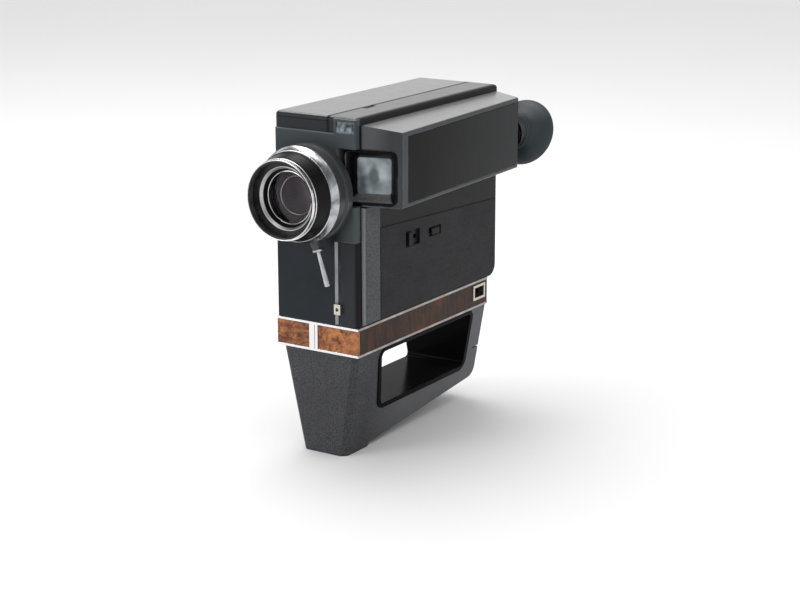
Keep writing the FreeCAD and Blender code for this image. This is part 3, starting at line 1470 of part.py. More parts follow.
handle_rear = handle_length - handle_front_top
cover_end = cover_start + cover_length
pivot_reach = cover_end - foot_rear - cover_pivot_inset


def tapered(name, near, far, grow):
    """The handle's wedge section along Y, wider towards the top, grown outward evenly."""
    top = handle_top_half + grow
    low = handle_foot_half + grow
    return prism(name, "y", near, far, [(-low, 0), (low, 0), (top, handle_height), (-top, handle_height)])


def loop_prism(name, grow, corner):
    """The finger loop's side outline with rounded corners, grown outward by an even margin."""
    body = prism(name, "x", -half - over, half + over,
                 [(loop_front_low - grow, loop_floor - grow), (loop_rear + grow, loop_floor - grow),
                  (loop_rear + grow, loop_ceiling + grow), (loop_front_top - grow, loop_ceiling + grow)])
    soften(body, corner, along("x"))
    return body


def bar_line(y):
    return bar_rise + (y - foot_rear) * tangent(bar_angle)


def on_bar(thing, along_bar=0, rise=0, across=0):
    """Puts a piece in the slope of the bar, measured from the foot's rear end."""
    return place(thing, across, foot_rear + along_bar * cosine(bar_angle) - rise * sine(bar_angle),
                 bar_rise + along_bar * sine(bar_angle) + rise * cosine(bar_angle), "x", bar_angle)


def bar_room(name, half_width, near, far, low, high):
    """A block in the bar's slope, placed along it from the camera's middle."""
    return on_bar(block(name, -half_width, half_width, near - foot_rear, far - foot_rear, low, high))


def trigger_slot(name):
    return block(name, -trigger_slot_half, trigger_slot_half, 0, trigger_slot_far,
                 trigger_slot_low, trigger_slot_high)


def make_handle():
    """The moulded loop, hollow in its front column and rear post, with rooms in the bar."""
    outer = tapered("HandleForm", -handle_front_top, handle_rear, 0)
    beyond = handle_front_top + over * 2
    pocket(outer, "x", -half - over, half + over,
           [(-beyond, -over), (-handle_front_low, -over), (-handle_front_low, 0),
            (-handle_front_top, handle_height), (-beyond, handle_height)])
    pocket(outer, "x", -half - over, half + over,
           [(foot_rear, -over), (handle_rear + over, -over),
            (handle_rear + over, bar_line(handle_rear + over)), (foot_rear, bar_rise)])
    soften(outer, bar_heel, along("x", y=handle_rear, z=bar_line(handle_rear)))

    def front_edge(edge):
        return (edge.Curve.TypeId == "Part::GeomLine" and
                abs(edge.Curve.Direction.z) > 0.9 and
                edge.CenterOfMass.y < value(over - handle_front_low))

    soften(outer, front_bevel, front_edge, kind="Chamfer")
    inside = new_body("HandleInside")
    top = handle_top_half - handle_wall - handle_draft
    low = handle_foot_half - handle_wall - handle_draft
    front_inside = -handle_front_low + handle_wall
    pad(inside, "y", front_inside, handle_rear - handle_wall,
        [(-low, 0), (low, 0), (top, handle_height), (-top, handle_height)])
    open_top = handle_height + over
    column = prism("ColumnRoom", "x", -half, half,
                   [(front_inside, column_floor), (loop_front_low - column_wall, column_floor),
                    (loop_front_top - column_wall, open_top), (front_inside, open_top)])
    post = prism("PostRoom", "x", -half, half,
                 rectangle(loop_rear + column_wall, handle_rear - handle_wall, post_floor, open_top))
    slack = cover_half + gap
    swing_end = cover_end + cover_swing
    slit = prism("RearSlit", "x", -half - over, half + over,
                 centred(handle_rear + over - slit_depth / 2, slit_height, slit_depth, slit_width))
    pivots = rod("PivotHole", "x", cover_pivot_radius + fit, -slack - over, slack + over)
    keep("handle_shell", cut(
        outer, loop_prism("LoopHole", liner_thick, loop_corner), common(inside, fuse(column, post)),
        bar_room("BatteryRoom", battery_half, cell_start - gap * 2,
                 cell_start + cell_length * 2 + battery_slack, battery_low, battery_high),
        bar_room("CoverRoom", slack, cover_start - gap, swing_end, -wall, cover_thick + gap),
        bar_room("HingeRoom", slack, cover_end - wall * 3, swing_end, -wall, cover_hinge_room),
        bar_room("CatchRoom", catch_half + gap, foot_rear + gap, cover_start, -wall * 2, battery_low + gap),
        slit, trigger_slot("TriggerSlot"), rod("BushHole", "z", bush_radius + fit, -over, bush_length),
        on_bar(pivots, pivot_reach, cover_pivot_rise)))


def make_loop_liner():
    outside = tapered("LinerOutside", -loop_corner, handle_rear - handle_wall, loop_rim_proud)
    inside = tapered("LinerInside", -loop_corner - over, handle_rear, 0)
    rim_form = loop_prism("RimForm", loop_rim, loop_corner + loop_rim)
    tube_form = loop_prism("TubeForm", liner_thick, loop_corner)
    hole = loop_prism("LinerHole", 0, loop_corner - liner_thick)
    rim = cut(common(outside, rim_form), inside)
    keep("loop_liner", cut(fuse(rim, common(outside, tube_form)), hole, trigger_slot("LinerSlot")))


def make_battery_parts():
    near = cover_start - foot_rear
    far = cover_end - foot_rear
    cover = new_body("battery_cover")
    pad(cover, "z", 0, cover_thick, rectangle(-cover_half, cover_half, near, far))
    knuckle_near = far - cover_pivot_inset * 2
    pad(cover, "x", -battery_half + over, battery_half - over,
        rectangle(knuckle_near + gap, far - gap * 2, cover_thick, cover_hinge_high + gap))
    pocket(cover, "z", -over, cover_thick / 2,
           rectangle(-catch_half - gap * 2, catch_half + gap * 2, near - over, near + catch_travel - over))
    for index in range(thumb_grooves):
        start = near + groove_step * (index + 2)
        pocket(cover, "z", -over, gap, rectangle(-groove_half, groove_half, start, start + over))
    pin = rod("CoverPivot", "x", cover_pivot_radius, -cover_half - over, cover_half + over)
    keep("battery_cover", fuse(on_bar(cover), on_bar(pin, pivot_reach, cover_pivot_rise)))
    keep("battery_catch", bar_room("battery_catch", catch_half, catch_near, catch_near + catch_length,
                                   -catch_proud, battery_low))
    cells = []
    for side in (-1, 1):
        for row in range(2):
            cell = rod("Cell", "y", cell_radius, 0, cell_length)
            start = cell_start - foot_rear + row * (cell_length + fit * 4)
            cells.append(on_bar(cell, start, cell_radius + cell_rise, side * (cell_radius + fit * 3)))
    group("battery_cells", *cells)


def make_trigger():
    """A curved lever that hangs from its pin and looks out of the loop's front wall."""
    trigger = new_body("trigger")
    offsets = trigger_brow + trigger_face + trigger_back
    outline = [(trigger_y + across, trigger_z + up) for across, up in offsets]
    corners = outline[len(trigger_brow):-len(trigger_back) - 1]
    pad(trigger, "x", -trigger_half, trigger_half, outline)
    soften(trigger, trigger_round, *[along("x", y=y, z=z) for y, z in corners])
    pocket(trigger, "x", -trigger_half - over, trigger_half + over,
           Circle(trigger_y, trigger_z, trigger_pin_radius + fit))
    keep("trigger", trigger)
    pin_half = handle_top_half - trigger_pin_inset
    pin = rod("trigger_pin", "x", trigger_pin_radius, -pin_half, pin_half)
    keep("trigger_pin", place(pin, 0, trigger_y, trigger_z))
    start = trigger_half + gap * 2
    spring = tube("trigger_spring", "x", spring_bore, spring_radius, start, start + spring_length)
    keep("trigger_spring", place(spring, 0, trigger_y, trigger_z))


def make_tripod_bush():
    keep("tripod_bush", tube("tripod_bush", "z", socket_radius, bush_radius, 0, bush_length))


def build():
    make_body_shell()
    make_film_door()
    make_door_hinge_pin()
    make_door_latch()
    make_film_chamber()
    make_gate_plate()
    make_sound_head()
    make_pinch_roller()
    make_mechanism_plate()
    make_capstan()
    make_idler()
    make_take_up_spindle()
    make_motor_bracket()
    make_shutter()
    make_drive_motor()
    make_circuit_board()
    make_front_plate()
    make_meter_window()
    make_grip_rib()
    make_side_panel()
    make_filter_switch()
    make_check_button()
    make_finder()
    make_window_hood()
    make_eyepiece()
    make_eyecup()
    make_lens_rings()
    make_zoom_lever()
    make_lens_inside()
    make_band_frame()
    make_wood()
    make_band_trims()
    make_sockets()
    make_handle()
    make_loop_liner()
    make_battery_parts()
    make_trigger()
    make_tripod_bush()


def check():
    document.recompute()
    for thing in document.Objects:
        if "Invalid" in thing.State or "Error" in thing.State:
            raise ValueError("%s failed: %s" % (thing.Label, thing.State))
    for node in nodes:
        if node.Shape.isNull() or not node.Shape.isValid():
            raise ValueError("no sound solid in " + node.Label)


def write():
    os.makedirs("parts", exist_ok=True)
    for node in nodes:
        node.Shape.exportStep("parts/%s.step" % node.Label)
        print(node.Label, len(node.Shape.Solids), round(node.Shape.Volume))


build()
check()
write()
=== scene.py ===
import math

import bmesh
import bpy
from bpy.props import FloatProperty, FloatVectorProperty, IntProperty, PointerProperty
from mathutils import Matrix, Vector


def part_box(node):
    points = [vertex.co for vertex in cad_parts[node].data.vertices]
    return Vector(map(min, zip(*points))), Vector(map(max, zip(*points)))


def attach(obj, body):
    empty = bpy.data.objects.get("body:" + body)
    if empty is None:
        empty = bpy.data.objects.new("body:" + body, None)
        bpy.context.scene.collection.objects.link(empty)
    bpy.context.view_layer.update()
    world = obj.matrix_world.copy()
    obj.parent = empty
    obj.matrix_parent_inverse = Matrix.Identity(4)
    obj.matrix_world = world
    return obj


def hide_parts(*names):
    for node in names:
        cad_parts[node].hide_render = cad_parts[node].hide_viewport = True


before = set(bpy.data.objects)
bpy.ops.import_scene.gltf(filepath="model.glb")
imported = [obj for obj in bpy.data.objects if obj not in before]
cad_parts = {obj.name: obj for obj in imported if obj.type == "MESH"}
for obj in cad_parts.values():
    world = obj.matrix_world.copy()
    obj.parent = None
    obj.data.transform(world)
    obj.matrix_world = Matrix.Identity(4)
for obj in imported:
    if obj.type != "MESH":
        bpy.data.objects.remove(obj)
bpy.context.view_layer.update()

bl_info = {
    "name": "Sound Movie Camera",
    "version": (1, 0, 0),
    "blender": (4, 5, 0),
    "location": "View3D > Sidebar > Movie Camera",
    "description": "Finishes and visible pieces of a hand-held sound movie camera",
    "category": "Add Mesh",
}

MM = 0.001

LENS_LOW, LENS_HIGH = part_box("lens_front_rim")
ON_LENS = Matrix.Translation((
    (LENS_LOW.x + LENS_HIGH.x) / 2, LENS_LOW.y, (LENS_LOW.z + LENS_HIGH.z) / 2))

WHITE = (1.0, 1.0, 1.0)
# pale of settled dust, and of the painted sheen on what faces up
DUST_AND_SHEEN_TONE = (0.22, 0.22, 0.225)
# plastic rubbed pale on its edges, and painted highlight along them
RUBBED_AND_LIT_TONE = (0.24, 0.25, 0.26)
DOOR_SEAM = 10.5  # millimetres along X, the film door's right edge on top
FINE_EDGE = 0.3 * MM  # width of the wear on metal edges
GLASS_IOR = 1.3  # lower than real glass, which would mirror the pale floor

AIM = Vector((22.9, 47.8, 97.8)) * MM
LAMP_TARGET = Vector((0.0, 0.05, 0.12))
LAMPS = (  # name, place, size and power
    ("overhead_panel", (-0.5, 0.4, 1.6), 1.2, 14.0),
    ("front_panel", (-0.9, -1.4, 0.9), 0.8, 7.0),
)


# Sizes and colours

def length(name, description, default):
    """A size in metres with the given default in millimetres."""
    return FloatProperty(
        name=name, description=description, default=default * MM,
        subtype="DISTANCE", unit="LENGTH", precision=5)


def angle(name, description, default):
    """An angle property with the given default in degrees."""
    return FloatProperty(
        name=name, description=description, default=math.radians(default),
        subtype="ANGLE", unit="ROTATION")


def colour(name, description, default):
    """A colour property, as written in scene-linear values."""
    return FloatVectorProperty(
        name=name, description=description, default=default,
        subtype="COLOR", size=3, min=0.0, max=1.0)


def count(name, description, default, least):
    """A whole number with a lower limit."""
    return IntProperty(name=name, description=description, default=default, min=least)


class CameraFinish(bpy.types.PropertyGroup):
    """Colours of the finishes."""

    shell: colour("Shell", "Moulded black plastic of the body", (0.0095, 0.0095, 0.0115))
    front: colour("Front plate", "Bluish charcoal of the front plate", (0.0170, 0.0225, 0.0275))
    housing: colour("Viewfinder housing", "Greyer black of the housing", (0.044, 0.047, 0.051))
    rib: colour("Grip rib", "Pale charcoal of the grained rib", (0.100, 0.107, 0.112))
    grained: colour("Grained panel", "Charcoal of the grained side", (0.021, 0.0205, 0.0245))
    handle: colour("Handle", "Charcoal of the pebbled handle", (0.069, 0.070, 0.079))
    gloss: colour("Gloss black", "Polished black plastic", (0.004, 0.004, 0.0045))
    anodised: colour("Anodised black", "Black metal of the lens rings", (0.006, 0.006, 0.007))
    zoom: colour("Zoom ring", "Greyer metal of the zoom ring", (0.044, 0.048, 0.051))
    chrome: colour("Chrome", "Bright plated metal", (0.78, 0.78, 0.79))
    burl_light: colour("Burl, light", "Light wood between the burl's eyes", (0.66, 0.255, 0.085))
    burl_dark: colour("Burl, dark", "Dark wood of the burl's veins", (0.085, 0.017, 0.008))
    stripe_light: colour("Side wood, light", "Light stripe of the veneer", (0.078, 0.034, 0.018))
    stripe_dark: colour("Side wood, dark", "Dark stripe of the veneer", (0.022, 0.012, 0.010))
    rubber: colour("Rubber", "Black rubber of the eyecup", (0.026, 0.038, 0.044))


class CameraStage(bpy.types.PropertyGroup):
    """View of the stage's camera."""

    azimuth: angle("Azimuth", "Turn of the view round the object", 32.9)
    elevation: angle("Elevation", "Height of the view above the horizon", 15.0)
    roll: angle("Roll", "Tilt of the view about its own axis", -0.10)
    distance: length("Distance", "From the aim to the camera", 1304.0)
    focal: FloatProperty(
        name="Focal length", description="Focal length on a 36 mm wide sensor",
        default=84.8, subtype="DISTANCE_CAMERA")


class RingSizes(bpy.types.PropertyGroup):
    """Counts and depths of the ribbed and threaded rings."""

    focus_ribs: count("Focus ribs", "Ribs round the focus grip", 120, 12)
    zoom_ribs: count("Zoom ribs", "Ribs round the zoom grip", 110, 12)
    rib_rise: length("Rib height", "How far a rib stands proud", 0.22)
    thread_turns: count("Thread turns", "Turns of the filter thread", 6, 1)
    thread_pitch: length("Thread pitch", "From one turn of the filter thread to the next", 0.5)


class HoodSizes(bpy.types.PropertyGroup):
    """Frame round the viewfinder's window."""

    width: length("Width", "Across the frame", 35.5)
    height: length("Height", "Up the frame", 36.5)
    corner: length("Corner radius", "Rounding of the frame's corners", 4.5)
    depth: length("Depth", "From the housing's face to the back of the frame", 10.9)
    proud: length("Proud", "How far the frame stands out of the housing", 0.8)
    sweep: angle("Sweep", "Turn of the frame towards the lens", 16.0)


class EyecupSizes(bpy.types.PropertyGroup):
    """Rubber eyecup."""

    radius: length("Radius", "Bowl's outer radius", 24.3)
    neck_radius: length("Neck radius", "Outer radius of the neck's rings", 13.6)
    bore: length("Bore", "Radius of the hole for the eyepiece", 12.3)
    lean: angle("Lean", "Tilt of the bowl about the sideways axis", -22.0)


# Node trees

def feed(tree, socket, source):
    """Links a socket to an input or sets the input's value; a colour comes without alpha."""
    if isinstance(source, bpy.types.NodeSocket):
        tree.links.new(source, socket)
    elif socket.type == "RGBA":
        socket.default_value = (*source, 1.0)
    else:
        socket.default_value = source


def add_node(tree, kind, inputs=None, **settings):
    """Adds a node; an input is a value or the socket that feeds it."""
    made = tree.nodes.new("ShaderNode" + kind)
    for name, setting in settings.items():
        setattr(made, name, setting)
    for name, source in (inputs or {}).items():
        feed(tree, made.inputs[name], source)
    return made


def maths(tree, operation, first, second=0.0, clamp=False):
    """A Math node's output."""
    made = add_node(tree, "Math", {0: first, 1: second}, operation=operation, use_clamp=clamp)
    return made.outputs[0]


def stretched(tree, source, low, high, to_low=0.0, to_high=1.0):
    """The source's span from low to high, mapped and clamped."""
    return add_node(tree, "MapRange", {
        "Value": source, "From Min": low, "From Max": high,
        "To Min": to_low, "To Max": to_high}).outputs["Result"]


def mixed(tree, mask, first, second):
    """Two colours mixed by a mask."""
    return add_node(tree, "Mix", {0: mask, 6: first, 7: second}, data_type="RGBA").outputs[2]


def shade(tone, factor):
    """A tone made darker, or paler up to white."""
    return [min(value * factor, 1.0) for value in tone]


def place_of(tree, scale=(1.0, 1.0, 1.0), turn=(0.0, 0.0, 0.0)):
    """Object coordinates, turned and stretched."""
    where = add_node(tree, "TexCoord").outputs["Object"]
    return add_node(tree, "Mapping", {
        "Vector": where, "Rotation": turn, "Scale": scale}).outputs["Vector"]


def axis_of(tree, vector, axis):
    """One coordinate of a vector."""
    return add_node(tree, "SeparateXYZ", {0: vector}).outputs[axis]


def facing(tree, axis):
    """How far the surface faces along an axis of the object."""
    return axis_of(tree, add_node(tree, "TexCoord").outputs["Normal"], axis)


def ramp(tree, axis, start, end):
    """Rises from 0 to 1 between two places along an axis of the object, in millimetres."""
    return stretched(tree, axis_of(tree, place_of(tree), axis), start * MM, end * MM)


def noise(tree, where, scale, detail, output="Fac", **more):
    """A noise texture's value or colour."""
    return add_node(tree, "TexNoise", {
        "Vector": where, "Scale": scale, "Detail": detail, **more}).outputs[output]


def warped(tree, where, scale, detail, amount):
    """Coordinates pushed about by a noise."""
    drift = noise(tree, where, scale, detail, "Color")
    push = add_node(tree, "VectorMath", {0: drift, "Scale": amount}, operation="SCALE").outputs[0]
    return add_node(tree, "VectorMath", {0: where, 1: push}, operation="ADD").outputs[0]


def new_group(name, inputs, outputs):
    """An empty node group with float inputs, and the sockets inside it at both ends."""
    tree = bpy.data.node_groups.new(name, "ShaderNodeTree")
    for label, default in inputs.items():
        socket = tree.interface.new_socket(
            name=label, in_out="INPUT", socket_type="NodeSocketFloat")
        socket.default_value = default
    for label, kind in outputs.items():
        tree.interface.new_socket(name=label, in_out="OUTPUT", socket_type="NodeSocket" + kind)
    entry = tree.nodes.new("NodeGroupInput")
    leave = tree.nodes.new("NodeGroupOutput")
    return tree, entry.outputs, leave.inputs


def use_group(tree, name, **inputs):
    """Places a node group with its own values and gives its outputs."""
    return add_node(tree, "Group", inputs, node_tree=bpy.data.node_groups[name]).outputs


def bumped(tree, height, depth, normal):
    """A bump of the given depth in metres on top of another normal."""
    return add_node(tree, "Bump", {
        "Height": height, "Distance": depth, "Strength": 1.0, "Normal": normal}).outputs[0]


def softened(tree, height, depth, edge):
    """The normal of a piece with rounded edges and a bump of the given depth in metres."""
    return bumped(tree, height, depth, use_group(tree, "Edge Wear And Highlight", Width=edge)["Normal"])


def build_edge_wear_and_highlight():
    """Edges painted paler, partly rubbed wear and partly painted highlight: where the rounded
    normal leaves the flat one, broken up by noise.
    """
    tree, given, result = new_group(
        "Edge Wear And Highlight", {"Width": 0.0005, "Amount": 0.5, "Patch Size": 90.0},
        {"Mask": "Float", "Normal": "Vector"})
    rounded = add_node(tree, "Bevel", {"Radius": given["Width"]}, samples=4).outputs["Normal"]
    flat = add_node(tree, "NewGeometry").outputs["Normal"]
    agreement = add_node(
        tree, "VectorMath", {0: rounded, 1: flat}, operation="DOT_PRODUCT").outputs["Value"]
    edge = stretched(tree, agreement, 0.985, 0.80)
    broken = stretched(tree, noise(tree, place_of(tree), given["Patch Size"], 5.0), 0.42, 0.68)
    patchiness = maths(tree, "MULTIPLY", broken, given["Amount"])
    feed(tree, result["Mask"], maths(tree, "MULTIPLY", edge, patchiness, clamp=True))
    feed(tree, result["Normal"], rounded)


def build_pebble():
    """Moulded pebble grain: round cells of uneven size with soft valleys, and a mask that paints
    shade into the valleys.
    """
    tree, given, result = new_group(
        "Pebble Grain", {"Cells": 900.0}, {"Height": "Float", "Valley Shade": "Float"})
    cells = add_node(tree, "TexVoronoi", {
        "Vector": warped(tree, place_of(tree), 260.0, 2.0, 0.0006), "Scale": given["Cells"],
        "Smoothness": 0.35}, feature="SMOOTH_F1").outputs["Distance"]
    feed(tree, result["Height"], stretched(tree, cells, 0.15, 0.62, 1.0, 0.0))
    feed(tree, result["Valley Shade"], stretched(tree, cells, 0.42, 0.66))


def build_fine_mould():
    """Fine eroded skin of plain moulded plastic, with slow clouds in its tone."""
    tree, given, result = new_group(
        "Moulded Skin", {"Fineness": 2600.0}, {"Height": "Float", "Cloud": "Float"})
    feed(tree, result["Height"], noise(tree, place_of(tree), given["Fineness"], 2.0))
    slow = noise(tree, place_of(tree), 34.0, 4.0)
    feed(tree, result["Cloud"], stretched(tree, slow, 0.35, 0.68))


def build_dust_and_sheen():
    """Thin dust that lies on what faces up, with a painted sheen there: what faces up is painted
    paler.
    """
    tree, given, result = new_group("Settled Dust And Sheen", {"Amount": 0.3}, {"Mask": "Float"})
    lying = stretched(tree, facing(tree, "Z"), 0.55, 0.98)
    specks = noise(tree, place_of(tree), 700.0, 6.0)
    mask = maths(tree, "MULTIPLY", lying, stretched(tree, specks, 0.30, 0.75, 0.55, 1.0))
    feed(tree, result["Mask"], maths(tree, "MULTIPLY", mask, given["Amount"], clamp=True))


def build_smudge():
    """Handling marks: wiped streaks and finger-sized blots."""
    tree, given, result = new_group("Handling Marks", {"Amount": 0.5}, {"Mask": "Float"})
    streaky = place_of(tree, (60.0, 60.0, 260.0), (0.3, 0.5, 0.2))
    wiped = stretched(tree, noise(tree, streaky, 1.0, 5.0), 0.45, 0.75)
    blots = stretched(tree, noise(tree, place_of(tree), 75.0, 3.0), 0.5, 0.7)
    both = maths(tree, "ADD", wiped, blots)
    feed(tree, result["Mask"], maths(tree, "MULTIPLY", both, given["Amount"], clamp=True))


# Materials

def new_material(name):
    """A material with an empty node tree, and that tree."""
    material = bpy.data.materials.new(name)
    material.use_nodes = True
    material.node_tree.nodes.clear()
    return material, material.node_tree


def shaded(material, inputs):
    """Ends the material's tree with a Principled shader on the given inputs."""
    shader = add_node(material.node_tree, "BsdfPrincipled", inputs)
    add_node(material.node_tree, "OutputMaterial", {"Surface": shader.outputs[0]})
    return material


def plastic(name, tone, roughness, grain=None, depth=0.00004, edge_paling=0.5, dust_and_sheen=0.3, shine=0.5,
            coat_up=0.0, edge=0.0005, paler=(0.11, 0.115, 0.12), painted_light=(), seam=None):
    """Moulded black plastic with edges painted paler, partly wear and partly painted highlight,
    with dust and painted sheen on what faces up, and with the grain that is named.

    Depth and edge are in metres, and coat_up is the weight of a coat on what faces up. Each
    stretch of painted light (axis, start, end, tone) paints a stretch paler where a highlight or
    reflection falls. The seam is painted shade: a plain, uncoated dark line along Y on top, where
    the door's gap lies in shade. Stretches and seam are in millimetres.
    """
    material, tree = new_material(name)
    wear_and_highlight = use_group(tree, "Edge Wear And Highlight", Width=edge, Amount=edge_paling)
    skin = use_group(tree, "Moulded Skin")
    lying = use_group(tree, "Settled Dust And Sheen", Amount=dust_and_sheen)["Mask"]
    marks = use_group(tree, "Handling Marks", Amount=0.5)["Mask"]
    cloud_tone, valley_shade_tone = shade(tone, 0.72), shade(tone, 0.45)
    base = mixed(tree, skin["Cloud"], cloud_tone, tone)
    height = skin["Height"]
    if grain:
        pebble = use_group(tree, "Pebble Grain", Cells=grain)
        height = pebble["Height"]
        # painted shade: the valleys between the pebbles are painted darker
        base = mixed(tree, pebble["Valley Shade"], base, valley_shade_tone)
    # painted light: each stretch paints a highlight or reflection paler into the colour
    for axis, start, end, lit_tone in painted_light:
        base = mixed(tree, ramp(tree, axis, start, end), base, lit_tone)
    # paler edges: wear, and partly a painted highlight along the edges
    base = mixed(tree, wear_and_highlight["Mask"], base, paler)
    # dust, and painted sheen, on what faces up
    base = mixed(tree, lying, base, DUST_AND_SHEEN_TONE)
    coat = {}
    if coat_up:
        glossy = stretched(tree, facing(tree, "Z"), 0.6, 0.97, 0.0, coat_up)
        # painted shade: along the door's gap the coat and the other marks are left off, which
        # paints a dark line where the gap lies in shade
        if seam is not None:
            across = axis_of(tree, place_of(tree), "X")
            off = maths(tree, "ABSOLUTE", maths(tree, "SUBTRACT", across, seam * MM))
            outside_gap_shade = stretched(tree, off, 0.9 * MM, 1.5 * MM)
            glossy = maths(tree, "MULTIPLY", glossy, outside_gap_shade)
            base = mixed(tree, outside_gap_shade, tone, base)
        coat = {"Coat Weight": glossy, "Coat Roughness": 0.26, "Coat IOR": 2.1}
    return shaded(material, {
        "Base Color": base, "Specular IOR Level": shine,
        "Roughness": maths(tree, "ADD", roughness, maths(tree, "MULTIPLY", marks, 0.10)),
        "Normal": bumped(tree, height, depth, wear_and_highlight["Normal"]), **coat})


def metal(name, tone, roughness, brushed=0.0, edge_paling=0.0, patchy=0.0):
    """Plain or plated metal with hairlines, dulled patches and, where asked, tarnish."""
    material, tree = new_material(name)
    wear_and_highlight = use_group(tree, "Edge Wear And Highlight", Width=FINE_EDGE, Amount=edge_paling)
    marks = use_group(tree, "Handling Marks", Amount=0.6)["Mask"]
    lines = noise(tree, place_of(tree, (900.0, 40.0, 900.0)), 3.0, 3.0)
    dulled, tarnished, bared = shade(tone, 0.82), shade(tone, 0.30), shade(tone, 1.5)
    rough = maths(tree, "ADD", roughness, maths(tree, "MULTIPLY", marks, 0.12))
    rough = maths(tree, "ADD", rough, maths(tree, "MULTIPLY", lines, brushed))
    base = mixed(tree, marks, tone, dulled)
    if patchy:
        tarnish = noise(tree, place_of(tree), 62.0, 3.0, Distortion=0.6)
        tarnish = stretched(tree, tarnish, 0.44, 0.60, 0.0, patchy)
        base = mixed(tree, tarnish, base, tarnished)
    if edge_paling:
        base = mixed(tree, wear_and_highlight["Mask"], base, bared)
    return shaded(material, {
        "Base Color": base, "Metallic": 1.0, "Roughness": rough,
        "Normal": bumped(tree, lines, 0.000004, wear_and_highlight["Normal"])})


def veneer(material, base, roughness, shine, fibre):
    """Closes a wood's tree: thin lacquer, fine fibres and rounded edges."""
    return shaded(material, {
        "Base Color": base, "Roughness": roughness, "Specular IOR Level": shine,
        "Normal": softened(material.node_tree, fibre, 0.00002, 0.0004)})


def burl_wood(tone_light, tone_dark):
    """Burl veneer: swirled figure with dark eyes, browner on the left panel."""
    material, tree = new_material("burl_veneer")
    where = place_of(tree)
    swirled = warped(tree, where, 48.0, 3.0, 0.03)
    figure = noise(tree, swirled, 90.0, 9.0, Roughness=0.70, Distortion=0.7)
    blots = noise(tree, swirled, 210.0, 5.0)
    eyes = add_node(tree, "TexVoronoi", {"Vector": swirled, "Scale": 170.0}).outputs["Distance"]
    blot_tone, eye_tone, brown = shade(tone_dark, 0.5), (0.02, 0.007, 0.005), (0.075, 0.024, 0.014)
    base = mixed(tree, stretched(tree, figure, 0.34, 0.62), tone_dark, tone_light)
    base = mixed(tree, stretched(tree, blots, 0.56, 0.70, 0.0, 0.75), base, blot_tone)
    base = mixed(tree, stretched(tree, eyes, 0.17, 0.05, 0.0, 0.85), base, eye_tone)
    rings = add_node(tree, "TexWave", {
        "Vector": swirled, "Scale": 75.0, "Distortion": 5.0, "Detail": 3.0},
        wave_type="RINGS").outputs["Fac"]
    browner = mixed(tree, stretched(tree, rings, 0.45, 0.95, 0.25, 0.95), base, brown)
    left = stretched(tree, axis_of(tree, where, "X"), -6.5 * MM, -5.5 * MM, 0.65, 0.0)
    base = mixed(tree, left, base, browner)
    fibre = noise(tree, place_of(tree, (700.0, 300.0, 2600.0)), 1.0, 3.0)
    base = mixed(tree, stretched(tree, fibre, 0.42, 0.75, 0.0, 0.35), base, tone_dark)
    return veneer(material, base, stretched(tree, figure, 0.3, 0.7, 0.34, 0.46), 0.3, fibre)


def striped_wood(tone_light, tone_dark):
    """Dark veneer with wavering stripes across the band and patches of red and black."""
    material, tree = new_material("striped_veneer")
    where = place_of(tree)
    waved = warped(tree, where, 60.0, 3.0, 0.006)
    across = add_node(
        tree, "Mapping", {"Vector": waved, "Scale": (330.0, 330.0, 42.0)}).outputs["Vector"]
    stripes = noise(tree, across, 1.0, 6.0, Roughness=0.68)
    fibre = noise(tree, place_of(tree, (2300.0, 2300.0, 180.0)), 1.0, 3.0)
    patches = noise(tree, where, 46.0, 4.0)
    red, black = (0.150, 0.046, 0.021), (0.020, 0.017, 0.021)
    base = mixed(tree, stretched(tree, stripes, 0.38, 0.62), tone_dark, tone_light)
    base = mixed(tree, stretched(tree, patches, 0.53, 0.66, 0.0, 0.75), base, red)
    base = mixed(tree, stretched(tree, patches, 0.46, 0.34, 0.0, 0.80), base, black)
    base = mixed(tree, stretched(tree, fibre, 0.45, 0.70, 0.0, 0.50), base, tone_dark)
    return veneer(material, base, stretched(tree, stripes, 0.3, 0.7, 0.40, 0.52), 0.15, fibre)


def plated_trim(name, tone):
    """Bright trim, darker and rougher on the faces that turn to the camera's sides."""
    material, tree = new_material(name)
    sideways = maths(tree, "ABSOLUTE", facing(tree, "X"))
    patchiness = noise(tree, place_of(tree), 130.0, 4.0)
    dull = maths(
        tree, "MULTIPLY", stretched(tree, sideways, 0.3, 0.8),
        stretched(tree, patchiness, 0.3, 0.6, 0.7, 1.0))
    dull_tone = (0.31, 0.28, 0.26)
    return shaded(material, {
        "Base Color": mixed(tree, dull, tone, dull_tone), "Metallic": 1.0,
        "Roughness": stretched(tree, dull, 0.0, 1.0, 0.14, 0.34),
        "Normal": use_group(tree, "Edge Wear And Highlight", Width=FINE_EDGE)["Normal"]})


def clear(name, tone):
    """Clear glass, tinted unevenly by its coating."""
    material, tree = new_material(name)
    bloom = noise(tree, place_of(tree), 45.0, 2.0)
    warmer = (tone[0], tone[1] * 0.86, tone[2] * 0.74)
    return shaded(material, {
        "Base Color": mixed(tree, stretched(tree, bloom, 0.35, 0.65), tone, warmer),
        "Roughness": 0.0, "Transmission Weight": 1.0, "IOR": GLASS_IOR})


